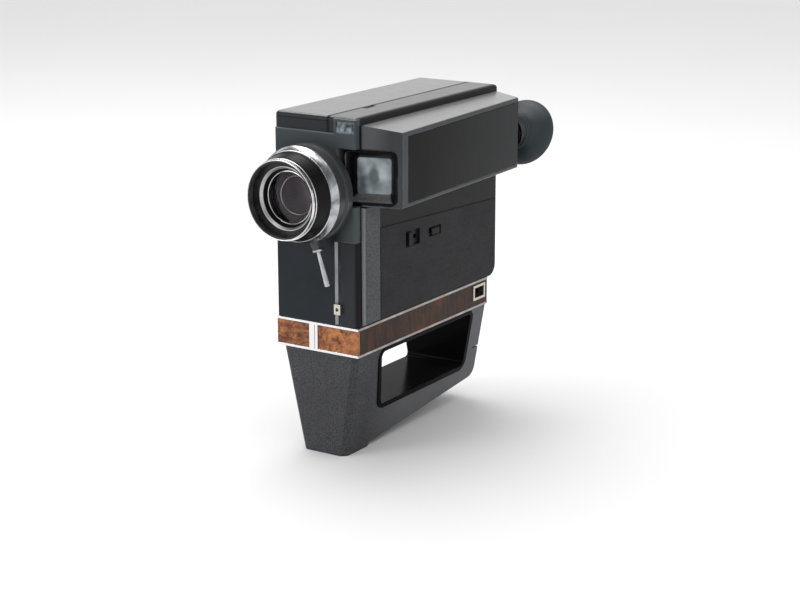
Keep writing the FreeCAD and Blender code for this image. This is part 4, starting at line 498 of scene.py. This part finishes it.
def silvered(name, node):
    """Half-mirror window: silvery, with a painted dark oval that stands for the finder's lens
    behind it and paints the dark reflection in the pane.
    """
    material, tree = new_material(name)
    low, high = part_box(node)
    centre = (low + high) / 2
    cloud = noise(tree, place_of(tree), 70.0, 2.0)
    dim, bright = (0.15, 0.18, 0.195), (0.43, 0.48, 0.50)
    silver = mixed(tree, stretched(tree, cloud, 0.38, 0.62), dim, bright)
    # painted reflection: a dark oval painted into the colour, for the finder's lens behind the
    # pane and its dark reflection
    painted_oval_tone = (0.055, 0.075, 0.075)
    where = add_node(
        tree, "VectorMath", {0: place_of(tree), 1: centre}, operation="SUBTRACT").outputs[0]
    oval = add_node(
        tree, "Mapping", {"Vector": where, "Scale": (220.0, 0.0, 120.0)}).outputs["Vector"]
    middle = add_node(tree, "VectorMath", {0: oval}, operation="LENGTH").outputs["Value"]
    spread = maths(tree, "ADD", middle, maths(tree, "MULTIPLY", cloud, 0.7))
    dark = stretched(tree, spread, 0.85, 1.35, 0.85, 0.0)
    return shaded(material, {
        "Base Color": mixed(tree, dark, silver, painted_oval_tone),
        "Metallic": 0.3, "Roughness": 0.16})


def plain(name, tone, roughness, metallic=0.0, change=0.75, scale=160.0):
    """One colour with darker clouds and fine grain, for inner pieces and small panes."""
    material, tree = new_material(name)
    cloud = noise(tree, place_of(tree), scale, 4.0)
    grain = use_group(tree, "Moulded Skin")["Height"]
    return shaded(material, {
        "Base Color": mixed(tree, stretched(tree, cloud, 0.35, 0.65), shade(tone, change), tone),
        "Metallic": metallic,
        "Roughness": stretched(tree, cloud, 0.3, 0.7, roughness - 0.05, roughness + 0.07),
        "Normal": softened(tree, grain, 0.000002, FINE_EDGE)})


def give(material, *names):
    """Puts a material on every slot of the named nodes."""
    for name in names:
        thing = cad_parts[name]
        if not thing.material_slots:
            thing.data.materials.append(material)
        for place in thing.material_slots:
            place.material = material


# Modelling helpers

def deselect():
    """Leaves edit mode with nothing selected."""
    if bpy.context.mode != "OBJECT":
        bpy.ops.object.mode_set(mode="OBJECT")
    bpy.ops.object.select_all(action="DESELECT")


def bake_place():
    """Bakes the place, turn and scale of what is selected into its mesh."""
    bpy.ops.object.transform_apply(location=True, rotation=True, scale=True)


def open_piece(name):
    """Names the new primitive, bakes its place and opens it with all selected."""
    thing = bpy.context.object
    thing.name = name
    thing.data.name = name
    bake_place()
    bpy.ops.object.mode_set(mode="EDIT")
    bpy.ops.mesh.select_mode(type="VERT")
    bpy.ops.mesh.select_all(action="SELECT")
    return thing


def seal():
    """Merges seams and poles, points the faces outwards and leaves edit mode."""
    bpy.ops.mesh.select_all(action="SELECT")
    bpy.ops.mesh.remove_doubles(threshold=0.01 * MM)
    bpy.ops.mesh.normals_make_consistent(inside=False)
    bpy.ops.object.mode_set(mode="OBJECT")


def extrude(move):
    """Extrudes the selection by a move in metres."""
    bpy.ops.mesh.extrude_region_move(TRANSFORM_OT_translate={"value": move})


def pick_faces(thing, test):
    """Selects only the faces that the test picks by middle and normal."""
    bpy.ops.mesh.select_mode(type="FACE")
    mesh = bmesh.from_edit_mesh(thing.data)
    for face in mesh.faces:
        face.select_set(bool(test(face.calc_center_median(), face.normal)))
    mesh.select_flush_mode()
    bmesh.update_edit_mesh(thing.data)


def straight(along):
    """The middle of a ring at a distance along Y, with no lean."""
    return Vector((0.0, along, 0.0)), 0.0


def turned(name, points, segments=96, path=straight, closed=True):
    """Sweeps a circle through (radius, along) points, in millimetres, round Y."""
    deselect()
    radius, along = points[0]
    middle, lean = path(along)
    bpy.ops.mesh.primitive_circle_add(
        vertices=segments, radius=radius * MM, location=middle * MM,
        rotation=(math.pi / 2, 0.0, 0.0))
    thing = open_piece(name)
    for next_radius, along in points[1:] + (points[:1] if closed else []):
        next_middle, next_lean = path(along)
        extrude((next_middle - middle) * MM)
        ratio = next_radius / radius
        centre = next_middle * MM
        bpy.ops.transform.resize(value=(ratio, ratio, ratio), center_override=centre)
        if next_lean != lean:
            bpy.ops.transform.rotate(
                value=lean - next_lean, orient_axis="X", center_override=centre)
        radius, middle, lean = next_radius, next_middle, next_lean
    seal()
    return thing


def ribbed(thing, ribs, low, high, rise):
    """Raises every second face between two radii, as ribs round Y, a little narrower."""
    step = math.pi / ribs
    margin = 0.1 * MM
    bpy.ops.object.mode_set(mode="EDIT")

    def is_rib(middle, normal):
        radius = math.hypot(middle.x, middle.z)
        turn = math.floor(math.atan2(middle.z, middle.x) / step)
        return low * MM < radius < high * MM and abs(normal.y) < 0.5 and turn % 2 == 0

    pick_faces(thing, is_rib)
    bpy.ops.mesh.inset(thickness=margin, depth=rise * MM, use_individual=True)
    bpy.ops.object.mode_set(mode="OBJECT")


def block(name, size, end_ratio=1.0, bevel=0.3):
    """A block in millimetres whose lower end narrows, with rounded edges."""
    deselect()
    bpy.ops.mesh.primitive_cube_add(size=1.0)
    thing = open_piece(name)
    bpy.ops.transform.resize(value=[extent * MM for extent in size])
    pick_faces(thing, lambda middle, normal: normal.z < -0.9)
    bpy.ops.transform.resize(value=(end_ratio, 1.0, 1.0))
    bpy.ops.mesh.select_all(action="SELECT")
    bpy.ops.mesh.bevel(offset=bevel * MM, segments=3, affect="EDGES")
    seal()
    return thing


def settle(thing, body, finish, place, replaced=(), angle_limit=35.0):
    """Bakes a piece's place, smooths it, gives it its finish and lets it ride on a body."""
    deselect()
    thing.select_set(True)
    bpy.context.view_layer.objects.active = thing
    thing.matrix_world = place
    bake_place()
    bpy.ops.object.shade_smooth_by_angle(angle=math.radians(angle_limit))
    thing.data.materials.clear()
    thing.data.materials.append(bpy.data.materials[finish])
    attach(thing, body)
    if replaced:
        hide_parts(*replaced)


def lens_ring(name, points, body, finish, replaced=(), segments=96, angle_limit=35.0):
    """A turned ring on the lens's axis; its points lie behind the lens's front rim."""
    ring = turned(name, points, segments)
    settle(ring, body, finish, ON_LENS, replaced, angle_limit)


def moved(x, y, z):
    """A move by millimetres."""
    return Matrix.Translation(Vector((x, y, z)) * MM)


# Operators

class CAMERA_OT_finishes(bpy.types.Operator):
    """Builds the shared effects and the materials, and gives them to the frame's nodes"""

    bl_idname = "movie_camera.finishes"
    bl_label = "Finishes"

    def execute(self, context):
        tones = context.scene.camera_finish
        for build in (
                build_edge_wear_and_highlight, build_pebble, build_fine_mould, build_dust_and_sheen, build_smudge):
            build()
        self.mould_shells(tones)
        self.polish_blacks(tones)
        self.plate_metals(tones)
        self.fit_woods_and_panes(tones)
        self.finish_inside(tones)
        return {"FINISHED"}

    def mould_shells(self, tones):
        """Moulded black and charcoal plastics."""
        shell = {"shine": 0.13, "edge_paling": 0.7}
        # painted light: the stretch paints a highlight along the front edge of the top, and the
        # seam paints the shade of the door's gap
        topped = {
            **shell, "seam": DOOR_SEAM, "painted_light": (("Y", -18.2, -18.9, (0.026, 0.029, 0.033)),)}
        give(plastic("moulded_black", tones.shell, 0.36, coat_up=0.62, **topped), "body_shell")
        give(plastic("door_black", tones.shell, 0.36, coat_up=1.0, **topped), "film_door")
        give(plastic("control_black", tones.shell, 0.36, **shell),
             "door_latch", "band_frame", "filter_switch", "battery_check_button")
        # painted light: the housing is painted paler towards the left, with edges paler from
        # painted highlight and a top paler from painted sheen, besides wear and dust
        give(plastic("housing_charcoal", tones.housing, 0.32, shine=0.25, coat_up=1.0, edge_paling=1.5,
                     dust_and_sheen=1.0, edge=0.0006, paler=RUBBED_AND_LIT_TONE,
                     painted_light=(("X", 52.0, 34.0, (0.098, 0.104, 0.110)),)),
             "viewfinder_housing")
        # painted light: the plate is painted paler towards the top and towards the right, where
        # light falls on it, and its edges are paler from painted highlight besides wear
        give(plastic("front_charcoal", tones.front, 0.28, shine=0.14, depth=0.00002, coat_up=0.6,
                     edge_paling=1.4, paler=(0.25, 0.27, 0.28),
                     painted_light=(("Z", 190.0, 226.0, (0.058, 0.067, 0.072)),
                            ("X", 17.0, 31.0, (0.064, 0.074, 0.078)))),
             "front_plate")
        give(plastic("grained_charcoal", tones.grained, 0.50, grain=1500.0, depth=0.00006,
                     shine=0.16),
             "side_panel")
        # painted highlight: the rib's front edge is painted pale, and its edges are paler from
        # painted highlight besides wear
        give(plastic("rib_charcoal", tones.rib, 0.50, grain=1300.0, depth=0.00014, shine=0.25,
                     edge_paling=0.9, paler=RUBBED_AND_LIT_TONE,
                     painted_light=(("Y", -12.8, -13.6, (0.185, 0.195, 0.20)),)),
             "grip_rib")
        # painted light: the handle is painted paler towards the rear
        give(plastic("handle_charcoal", tones.handle, 0.52, grain=1000.0, depth=0.00010,
                     shine=0.25, painted_light=(("Y", 5.0, 55.0, (0.106, 0.108, 0.114)),)),
             "handle_shell", "battery_cover", "battery_catch", "trigger")

    def polish_blacks(self, tones):
        """Polished black plastics and the black metal of the lens."""
        smooth = {"depth": 0.000002, "edge": 0.0006}
        give(plastic("gloss_black", tones.gloss, 0.16, edge_paling=0.35, dust_and_sheen=0.03, shine=0.025,
                     **smooth),
             "loop_liner")
        # painted reflection: the side plate is painted paler from front to rear
        give(plastic("plate_black", tones.gloss, 0.14, edge_paling=0.35, dust_and_sheen=0.03, shine=0.07,
                     painted_light=(("Y", 20.0, 157.0, (0.028, 0.029, 0.031)),), **smooth),
             "viewfinder_side_plate")
        # painted light: the hood is painted paler on its left; its edges are paler from painted
        # highlight; what faces up, the funnel's lower wall among it, is paler from painted sheen
        # besides dust
        plastic("hood_black", tones.gloss, 0.16, edge_paling=1.4, dust_and_sheen=1.0, shine=0.07, coat_up=1.0,
                paler=RUBBED_AND_LIT_TONE, painted_light=(("X", 23.6, 22.4, (0.21, 0.22, 0.225)),), **smooth)
        turned_black = {"depth": 0.000006, "edge": 0.0003}
        handled = {**turned_black, "edge_paling": 0.8, "paler": (0.24, 0.24, 0.25)}
        give(plastic("anodised_black", tones.anodised, 0.26, dust_and_sheen=0.04, shine=0.3, **handled),
             "dioptre_ring", "eyepiece_tube")
        give(plastic("zoom_black", tones.zoom, 0.30, dust_and_sheen=0.1, shine=0.4, **handled),
             "lens_flange")
        plastic("satin_black", tones.gloss, 0.32, edge_paling=0.6, dust_and_sheen=0.03, shine=0.14,
                **turned_black)
        give(plastic("lens_black", tones.gloss, 0.62, depth=0.000006, edge_paling=0.0, dust_and_sheen=0.0,
                     shine=0.1),
             "lens_barrel", "microphone_socket")

    def plate_metals(self, tones):
        """Chromed, silvered, steel and brass pieces."""
        metal("bright_chrome", tones.chrome, 0.10)
        give(plated_trim("plated_trim", tones.chrome), "band_trims")
        give(metal("bezel_metal", (0.58, 0.555, 0.49), 0.30, edge_paling=0.3), "socket_bezels")
        metal("ring_chrome", (0.60, 0.61, 0.63), 0.16, brushed=0.10, edge_paling=0.3, patchy=0.95)
        metal("satin_silver", (0.62, 0.62, 0.63), 0.30, brushed=0.15)
        metal("dull_silver", (0.30, 0.30, 0.315), 0.34, brushed=0.15, edge_paling=0.4)
        metal("lever_steel", (0.56, 0.57, 0.58), 0.24, brushed=0.15, edge_paling=0.4, patchy=0.5)
        give(metal("satin_steel", (0.55, 0.56, 0.57), 0.28, brushed=0.2),
             "door_hinge_pin", "trigger_pin", "trigger_spring", "mechanism_plate",
             "motor_bracket", "gate_plate", "drive_motor", "capstan_flywheel", "capstan_motor",
             "battery_cells")
        give(metal("turned_brass", (0.72, 0.50, 0.20), 0.22, brushed=0.15),
             "motor_pinion", "tripod_bush")

    def fit_woods_and_panes(self, tones):
        """Wood panels, lenses and windows; the inner lenses and the meter window are opaque."""
        give(burl_wood(tones.burl_light, tones.burl_dark), "front_wood_panels")
        give(striped_wood(tones.stripe_light, tones.stripe_dark), "side_wood_panels")
        give(clear("lens_glass", (0.80, 0.76, 0.86)), "front_lens", "finder_lenses")
        give(plain("coated_glass", (0.050, 0.042, 0.055), 0.06, change=0.6),
             "inner_lens_groups")
        give(plain("meter_plastic", (0.27, 0.32, 0.37), 0.12, metallic=0.4, change=0.10,
                   scale=330.0),
             "meter_window")
        give(silvered("silvered_glass", "viewfinder_window"), "viewfinder_window")

    def finish_inside(self, tones):
        """Rubber and the pieces inside."""
        give(plastic("eyecup_rubber", tones.rubber, 0.52, depth=0.00002, edge_paling=0.2, dust_and_sheen=0.15,
                     shine=0.4),
             "pinch_roller")
        give(plain("nylon_white", (0.74, 0.73, 0.68), 0.42, change=0.9),
             "shutter_gear", "idler_gear", "take_up_spindle")
        give(plain("board_green", (0.04, 0.16, 0.07), 0.35), "circuit_board")
        give(plain("blackened_metal", (0.03, 0.03, 0.032), 0.35, metallic=0.6),
             "shutter_disc", "iris_blades")
        give(plain("chamber_grey", (0.05, 0.052, 0.056), 0.5), "film_chamber")
        give(plain("sensor_face", (0.035, 0.05, 0.075), 0.2), "photocell")
        give(plain("head_metal", (0.5, 0.5, 0.5), 0.2, metallic=1.0), "sound_head")


class CAMERA_OT_stage(bpy.types.Operator):
    """Sets the pale floor, the soft light and the camera"""

    bl_idname = "movie_camera.stage"
    bl_label = "Stage"

    def execute(self, context):
        self.lay_floor(context)
        self.light_world(context)
        self.add_lamps(context)
        self.add_camera(context)
        context.scene.view_settings.view_transform = "Standard"
        return {"FINISHED"}

    def lay_floor(self, context):
        """A wide pale floor at the camera's foot."""
        bpy.ops.object.select_all(action="DESELECT")
        bpy.ops.mesh.primitive_plane_add(size=30.0, location=(0.0, 0.0, 0.0))
        floor = context.object
        floor.name = "floor"
        bake_place()
        material, tree = new_material("pale_floor")
        speckle = noise(tree, place_of(tree), 3.0, 3.0)
        tone = mixed(tree, speckle, shade(WHITE, 0.84), shade(WHITE, 0.88))
        floor.data.materials.append(shaded(material, {"Base Color": tone, "Roughness": 0.9}))

    def light_world(self, context):
        """Soft studio: bright overhead, dimmer round the sides.

        Views, reflections and what is seen through glass get a background of their own: pale
        at the horizon, dim above it, with a bright round panel overhead.
        """
        world = bpy.data.worlds.new("soft_studio")
        context.scene.world = world
        world.use_nodes = True
        tree = world.node_tree
        tree.nodes.clear()
        height = axis_of(tree, add_node(tree, "TexCoord").outputs["Generated"], "Z")
        light = stretched(tree, height, -0.15, 0.9, 0.42, 1.0)
        horizon = stretched(tree, height, 0.30, 0.55, 0.93, 0.30)
        panel = stretched(tree, height, 0.84, 0.92, 0.0, 1.3)
        seen = maths(tree, "ADD", horizon, panel)
        rays = add_node(tree, "LightPath").outputs
        bounced = maths(tree, "MAXIMUM", rays["Is Glossy Ray"], rays["Is Transmission Ray"])
        shown = maths(tree, "MAXIMUM", rays["Is Camera Ray"], bounced)
        soft, white = (
            add_node(tree, "Background", {"Color": WHITE, "Strength": strength}).outputs[0]
            for strength in (light, seen))
        both = add_node(tree, "MixShader", {0: shown, 1: soft, 2: white})
        add_node(tree, "OutputWorld", {"Surface": both.outputs[0]})

    def add_lamps(self, context):
        """A large soft panel overhead and a weaker one in front, both on the left."""
        for name, place, size, power in LAMPS:
            lamp = bpy.data.lights.new(name, "AREA")
            lamp.shape = "SQUARE"
            lamp.size = size
            lamp.energy = power
            thing = bpy.data.objects.new(name, lamp)
            context.scene.collection.objects.link(thing)
            aim = LAMP_TARGET - Vector(place)
            thing.rotation_euler = aim.to_track_quat("-Z", "Y").to_euler()
            thing.location = place

    def add_camera(self, context):
        """The camera at the photographed angle."""
        view = context.scene.camera_stage
        back = Vector((
            math.sin(view.azimuth) * math.cos(view.elevation),
            -math.cos(view.azimuth) * math.cos(view.elevation),
            math.sin(view.elevation)))
        data = bpy.data.cameras.new("view")
        data.lens = view.focal
        data.sensor_width = 36.0
        eye = bpy.data.objects.new("view", data)
        context.scene.collection.objects.link(eye)
        turn = back.to_track_quat("Z", "Y").to_matrix() @ Matrix.Rotation(view.roll, 3, "Z")
        eye.matrix_world = Matrix.Translation(AIM + back * view.distance) @ turn.to_4x4()
        context.scene.camera = eye


class CAMERA_OT_filter_rim(bpy.types.Operator):
    """Models the chromed front lip, the bead behind it and the threaded sleeve inside"""

    bl_idname = "movie_camera.filter_rim"
    bl_label = "Filter Rim"

    def execute(self, context):
        sizes = context.scene.ring_sizes
        seat = 25.6
        lip_end, groove_end, bead_end = 1.9, 2.75, 3.55
        lens_ring("rim_lip", [
            (seat, 0.5), (25.8, 0.1), (26.05, 0.0), (26.25, 0.0), (26.5, 0.25), (26.5, 1.75),
            (26.35, lip_end), (seat, lip_end)],
            "focus", "bright_chrome", ["lens_front_rim"])
        lens_ring("rim_groove", [
            (seat, lip_end), (26.1, lip_end), (26.1, groove_end), (seat, groove_end)],
            "focus", "anodised_black")
        lens_ring("rim_bead", [
            (seat, groove_end), (26.9, groove_end), (27.15, 3.0), (27.15, 3.35),
            (26.95, bead_end), (seat, bead_end)],
            "focus", "bright_chrome")
        pitch = sizes.thread_pitch / MM
        crest, root, last = 24.5, 24.85, 3.9
        sleeve = [
            (25.3, 0.35), (seat, 0.5), (seat, bead_end), (26.8, bead_end), (26.8, 4.0),
            (crest, 4.0)]
        for turn in range(sizes.thread_turns):
            sleeve += [(crest, last - pitch * turn), (root, last - pitch * (turn + 0.5))]
        sleeve.append((crest, 0.75))
        lens_ring("filter_thread", sleeve, "focus", "anodised_black",
                  angle_limit=20.0)
        return {"FINISHED"}


class CAMERA_OT_focus_grip(bpy.types.Operator):
    """Models the ribbed, tapered focus grip"""

    bl_idname = "movie_camera.focus_grip"
    bl_label = "Focus Grip"

    def execute(self, context):
        sizes = context.scene.ring_sizes
        front, back, step = 4.05, 14.95, 6.4
        mouth, bore = 25.2, 23.05
        grip = turned("focus_grip", [
            (mouth, front), (27.0, front), (27.3, 4.35), (27.4, 5.1), (27.2, 5.3),
            (29.1, 13.3), (29.45, 13.5), (29.78, 14.8), (29.7, back), (bore, back),
            (bore, step), (mouth, step)], segments=sizes.focus_ribs * 2)
        ribbed(grip, sizes.focus_ribs, 27.6, 28.8, sizes.rib_rise)
        settle(grip, "focus", "satin_black", ON_LENS, ["focus_ring"])
        return {"FINISHED"}


class CAMERA_OT_lens_mouth(bpy.types.Operator):
    """Models the stepped mouth, its bright rings and the baffle behind the front glass"""

    bl_idname = "movie_camera.lens_mouth"
    bl_label = "Lens Mouth"

    def execute(self, context):
        steps = [(25.1, 6.35), (25.1, 5.3)]
        radius, depth = 24.5, 5.2
        inward, back, wall = 0.8, 0.41, 0.36
        for _ in range(4):
            steps += [(radius, depth), (radius, depth + wall)]
            radius, depth = radius - inward, depth + back
        seat = 21.3
        steps += [(seat, depth), (seat, 7.6), (23.4, 7.2)]
        lens_ring("stepped_mouth", steps, "focus", "anodised_black",
                  ["lens_hood_cone"], angle_limit=20.0)
        lens_ring("retaining_ring", [
            (seat, 6.75), (21.0, 6.6), (20.7, 6.65), (19.4, 8.3), (19.4, 8.9), (seat, 7.6)],
            "focus", "satin_silver")
        lens_ring("mouth_cone", [
            (19.4, 8.35), (17.7, 10.85), (17.7, 11.9), (20.2, 11.9), (20.6, 8.15),
            (19.4, 8.9)],
            "focus", "lens_black")
        lens_ring("glass_ring", [
            (17.7, 10.85), (17.35, 10.75), (17.1, 10.95), (17.1, 11.7), (17.7, 11.9)],
            "focus", "bright_chrome")
        opening = 12.6
        lens_ring("inner_baffle", [
            (18.9, 17.0), (opening, 20.8), (opening, 21.6), (18.9, 21.6)],
            "camera", "lens_black")
        lens_ring("inner_ring", [
            (opening, 20.8), (12.3, 20.6), (12.0, 20.8), (12.0, 21.6), (opening, 21.6)],
            "camera", "bright_chrome")
        return {"FINISHED"}


class CAMERA_OT_scale_ring(bpy.types.Operator):
    """Models the wide chromed ring behind the focus grip"""

    bl_idname = "movie_camera.scale_ring"
    bl_label = "Scale Ring"

    def execute(self, context):
        bore, front, back = 24.0, 15.0, 21.3
        lens_ring("scale_ring", [
            (bore, front), (29.8, front), (30.15, 15.1), (30.35, 15.4), (30.3, 15.9),
            (32.1, 20.4), (32.4, 20.8), (32.4, 21.1), (32.2, back), (bore, back)],
            "focus", "ring_chrome", ["distance_ring"], segments=128)
        return {"FINISHED"}


class CAMERA_OT_zoom_grip(bpy.types.Operator):
    """Models the ribbed zoom ring, its boss and the lever that hangs from it"""

    bl_idname = "movie_camera.zoom_grip"
    bl_label = "Zoom Grip"

    def execute(self, context):
        sizes = context.scene.ring_sizes
        bore, front, back = 24.0, 21.6, 29.6
        grip = turned("zoom_grip", [
            (bore, front), (32.0, front), (32.35, 21.8), (32.35, 22.3), (31.9, 22.45),
            (31.9, 28.7), (32.35, 28.85), (32.55, 29.1), (32.55, 29.5), (32.4, back),
            (bore, back)], segments=sizes.zoom_ribs * 2)
        ribbed(grip, sizes.zoom_ribs, 31.7, 32.1, sizes.rib_rise)
        settle(grip, "zoom", "zoom_black", ON_LENS, ["zoom_ring"])
        lean = math.radians(-17.5)
        boss_at, head_at, rod_from, rod_to = 33.8, 38.4, 38.8, 63.0  # from the lens's axis
        hang = ON_LENS @ moved(0.0, 25.6, 0.0) @ Matrix.Rotation(lean, 4, "Y")
        boss = block("lever_boss", (8.0, 5.0, 7.6), 0.6)
        settle(boss, "zoom", "zoom_black", hang @ moved(0.0, 0.0, -boss_at))
        head = block("lever_head", (6.8, 3.2, 1.6))
        settle(head, "zoom", "lever_steel", hang @ moved(0.0, 0.0, -head_at))
        on_axis = 0.001
        rod = turned("lever_rod", [
            (on_axis, rod_from), (1.2, rod_from), (1.25, 40.0), (1.86, 61.0), (1.6, 61.15),
            (1.6, 61.5), (1.88, 61.65), (1.9, 62.4), (1.6, 62.85), (1.1, rod_to),
            (on_axis, rod_to)], segments=32, closed=False)
        down = Matrix.Rotation(-math.pi / 2, 4, "X")
        settle(rod, "zoom", "lever_steel", hang @ down, ["zoom_lever"])
        return {"FINISHED"}


class CAMERA_OT_window_hood(bpy.types.Operator):
    """Models the rounded frame and the funnel in front of the viewfinder's window"""

    bl_idname = "movie_camera.window_hood"
    bl_label = "Window Hood"

    def execute(self, context):
        sizes = context.scene.hood_sizes
        lip = ((0.2, 0.2), (0.4, 0.15), (1.0, 0.0), (0.3, -0.12), (0.3, -0.4))
        lip_rise = sum(max(forward, 0.0) for inward, forward in lip) * MM
        lip_fall = -sum(min(forward, 0.0) for inward, forward in lip) * MM
        funnel = ((2.1, 0.895), (2.45, 0.905), (2.43, 0.915), (0.3, 0.99))
        deselect()
        bpy.ops.mesh.primitive_plane_add(size=1.0, rotation=(math.pi / 2, 0.0, 0.0))
        hood = open_piece("window_hood")
        bpy.ops.transform.resize(value=(sizes.width, 1.0, sizes.height))
        bpy.ops.mesh.bevel(offset=sizes.corner, segments=6, affect="VERTICES")
        bpy.ops.transform.translate(value=(0.0, sizes.depth, 0.0))
        extrude((0.0, lip_rise - sizes.proud - sizes.depth, 0.0))
        for inward, forward in lip:
            bpy.ops.mesh.inset(thickness=inward * MM, depth=forward * MM)
        for deeper, narrower in funnel:
            extrude((0.0, deeper * MM, 0.0))
            bpy.ops.transform.resize(
                value=(narrower, 1.0, narrower), center_override=(0.0, 0.0, 0.0))
        deep = sum(deeper for deeper, narrower in funnel) * MM + lip_fall
        extrude((0.0, sizes.depth + sizes.proud - deep, 0.0))
        pick_faces(hood, lambda middle, normal: (
            abs(middle.x) < MM and abs(middle.z) < MM and middle.y > sizes.depth / 2))
        bpy.ops.mesh.bridge_edge_loops()
        seal()
        low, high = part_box("viewfinder_hood")
        centre = Matrix.Translation((low + high) / 2)
        half_reach = (sizes.depth - sizes.proud) / 2
        place = (centre @ Matrix.Rotation(sizes.sweep, 4, "Z")
                 @ Matrix.Translation((0.0, -half_reach, 0.0)))
        settle(hood, "camera", "hood_black", place, ["viewfinder_hood"])
        return {"FINISHED"}


class CAMERA_OT_eyecup(bpy.types.Operator):
    """Models the rubber eyecup: a ringed neck that leans into a rolled bowl"""

    bl_idname = "movie_camera.eyecup"
    bl_label = "Eyecup"

    def execute(self, context):
        sizes = context.scene.eyecup_sizes
        tube_low, tube_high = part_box("eyepiece_tube")
        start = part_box("eyecup")[0].y / MM
        turn_from, bowl = start + 1.5, start + 10.6

        def path(along):
            share = min(max((along - turn_from) / (bowl - turn_from), 0.0), 1.0)
            lean = sizes.lean * share
            past = max(along - bowl, 0.0)
            middle = Vector((
                0.0, min(along, bowl) + past * math.cos(lean), past * math.sin(lean)))
            return middle, lean

        neck, bore, rim = sizes.neck_radius / MM, sizes.bore / MM, sizes.radius / MM
        groove = neck - 0.8
        ring_step = 2.6
        outline = [(bore, start), (neck - 0.2, start)]
        for ring in range(3):
            place = start + 0.3 + ring_step * ring
            outline += [
                (neck, place), (neck, place + 1.1), (groove, place + 1.5), (groove, place + 2.1)]
        outline += [
            (neck + 0.6, bowl - 1.6), (neck + 1.6, bowl - 0.6), (rim - 6.6, bowl + 1.0),
            (rim - 4.2, bowl + 2.4), (rim - 2.1, bowl + 4.3), (rim - 0.8, bowl + 6.4),
            (rim - 0.1, bowl + 8.4), (rim, bowl + 9.4), (rim - 0.3, bowl + 10.1),
            (rim - 0.9, bowl + 10.4), (rim - 1.5, bowl + 10.0), (rim - 2.0, bowl + 8.6),
            (rim - 3.0, bowl + 6.8), (rim - 4.8, bowl + 4.9), (rim - 7.4, bowl + 3.4),
            (bore + 1.2, bowl + 2.2), (bore, bowl + 1.6)]
        cup = turned("rubber_eyecup", outline, path=path)
        on_tube = Matrix.Translation((
            (tube_low.x + tube_high.x) / 2, 0.0, (tube_low.z + tube_high.z) / 2))
        settle(cup, "camera", "eyecup_rubber", on_tube, ["eyecup"])
        return {"FINISHED"}


class CAMERA_OT_edge_strip(bpy.types.Operator):
    """Models the thin pale strip down the sloping edge of the lower front plate: partly the
    plate's pale edge, partly a painted highlight laid over it
    """

    bl_idname = "movie_camera.edge_strip"
    bl_label = "Edge Strip"

    def execute(self, context):
        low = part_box("front_plate")[0]
        wide, thick, tall = 2.2, 0.3, 56.4
        across, behind_front, above_foot = 17.0, 0.86, 0.4
        slope = math.atan2(2.0, 3.4)
        # painted highlight: a pale strip laid over the plate's sloping edge where it catches the
        # light, partly the edge's own pale finish
        strip = block("edge_strip", (wide, thick, tall), bevel=0.08)
        middle = moved(across, low.y / MM + behind_front, low.z / MM + above_foot + tall / 2)
        settle(strip, "camera", "dull_silver",
               middle @ Matrix.Rotation(slope, 4, "Z"))
        return {"FINISHED"}


class CAMERA_PT_panel(bpy.types.Panel):
    """Lists the camera's operators"""

    bl_idname = "CAMERA_PT_panel"
    bl_label = "Movie Camera"
    bl_space_type = "VIEW_3D"
    bl_region_type = "UI"
    bl_category = "Movie Camera"

    def draw(self, context):
        for operator in OPERATORS:
            self.layout.operator(operator.bl_idname)


OPERATORS = (
    CAMERA_OT_stage, CAMERA_OT_finishes, CAMERA_OT_filter_rim, CAMERA_OT_focus_grip,
    CAMERA_OT_lens_mouth, CAMERA_OT_scale_ring, CAMERA_OT_zoom_grip, CAMERA_OT_window_hood,
    CAMERA_OT_eyecup, CAMERA_OT_edge_strip)
GROUPS = {
    "camera_finish": CameraFinish, "camera_stage": CameraStage, "ring_sizes": RingSizes,
    "hood_sizes": HoodSizes, "eyecup_sizes": EyecupSizes}
CLASSES = (*GROUPS.values(), *OPERATORS, CAMERA_PT_panel)


def register():
    for cls in CLASSES:
        bpy.utils.register_class(cls)
    for name, group in GROUPS.items():
        setattr(bpy.types.Scene, name, PointerProperty(type=group))


def unregister():
    for name in GROUPS:
        delattr(bpy.types.Scene, name)
    for cls in reversed(CLASSES):
        bpy.utils.unregister_class(cls)


def main():
    register()
    bpy.ops.movie_camera.stage()
    bpy.ops.movie_camera.finishes()
    bpy.ops.movie_camera.filter_rim()
    bpy.ops.movie_camera.focus_grip()
    bpy.ops.movie_camera.lens_mouth()
    bpy.ops.movie_camera.scale_ring()
    bpy.ops.movie_camera.zoom_grip()
    bpy.ops.movie_camera.window_hood()
    bpy.ops.movie_camera.eyecup()
    bpy.ops.movie_camera.edge_strip()


if __name__ == "__main__":
    main()
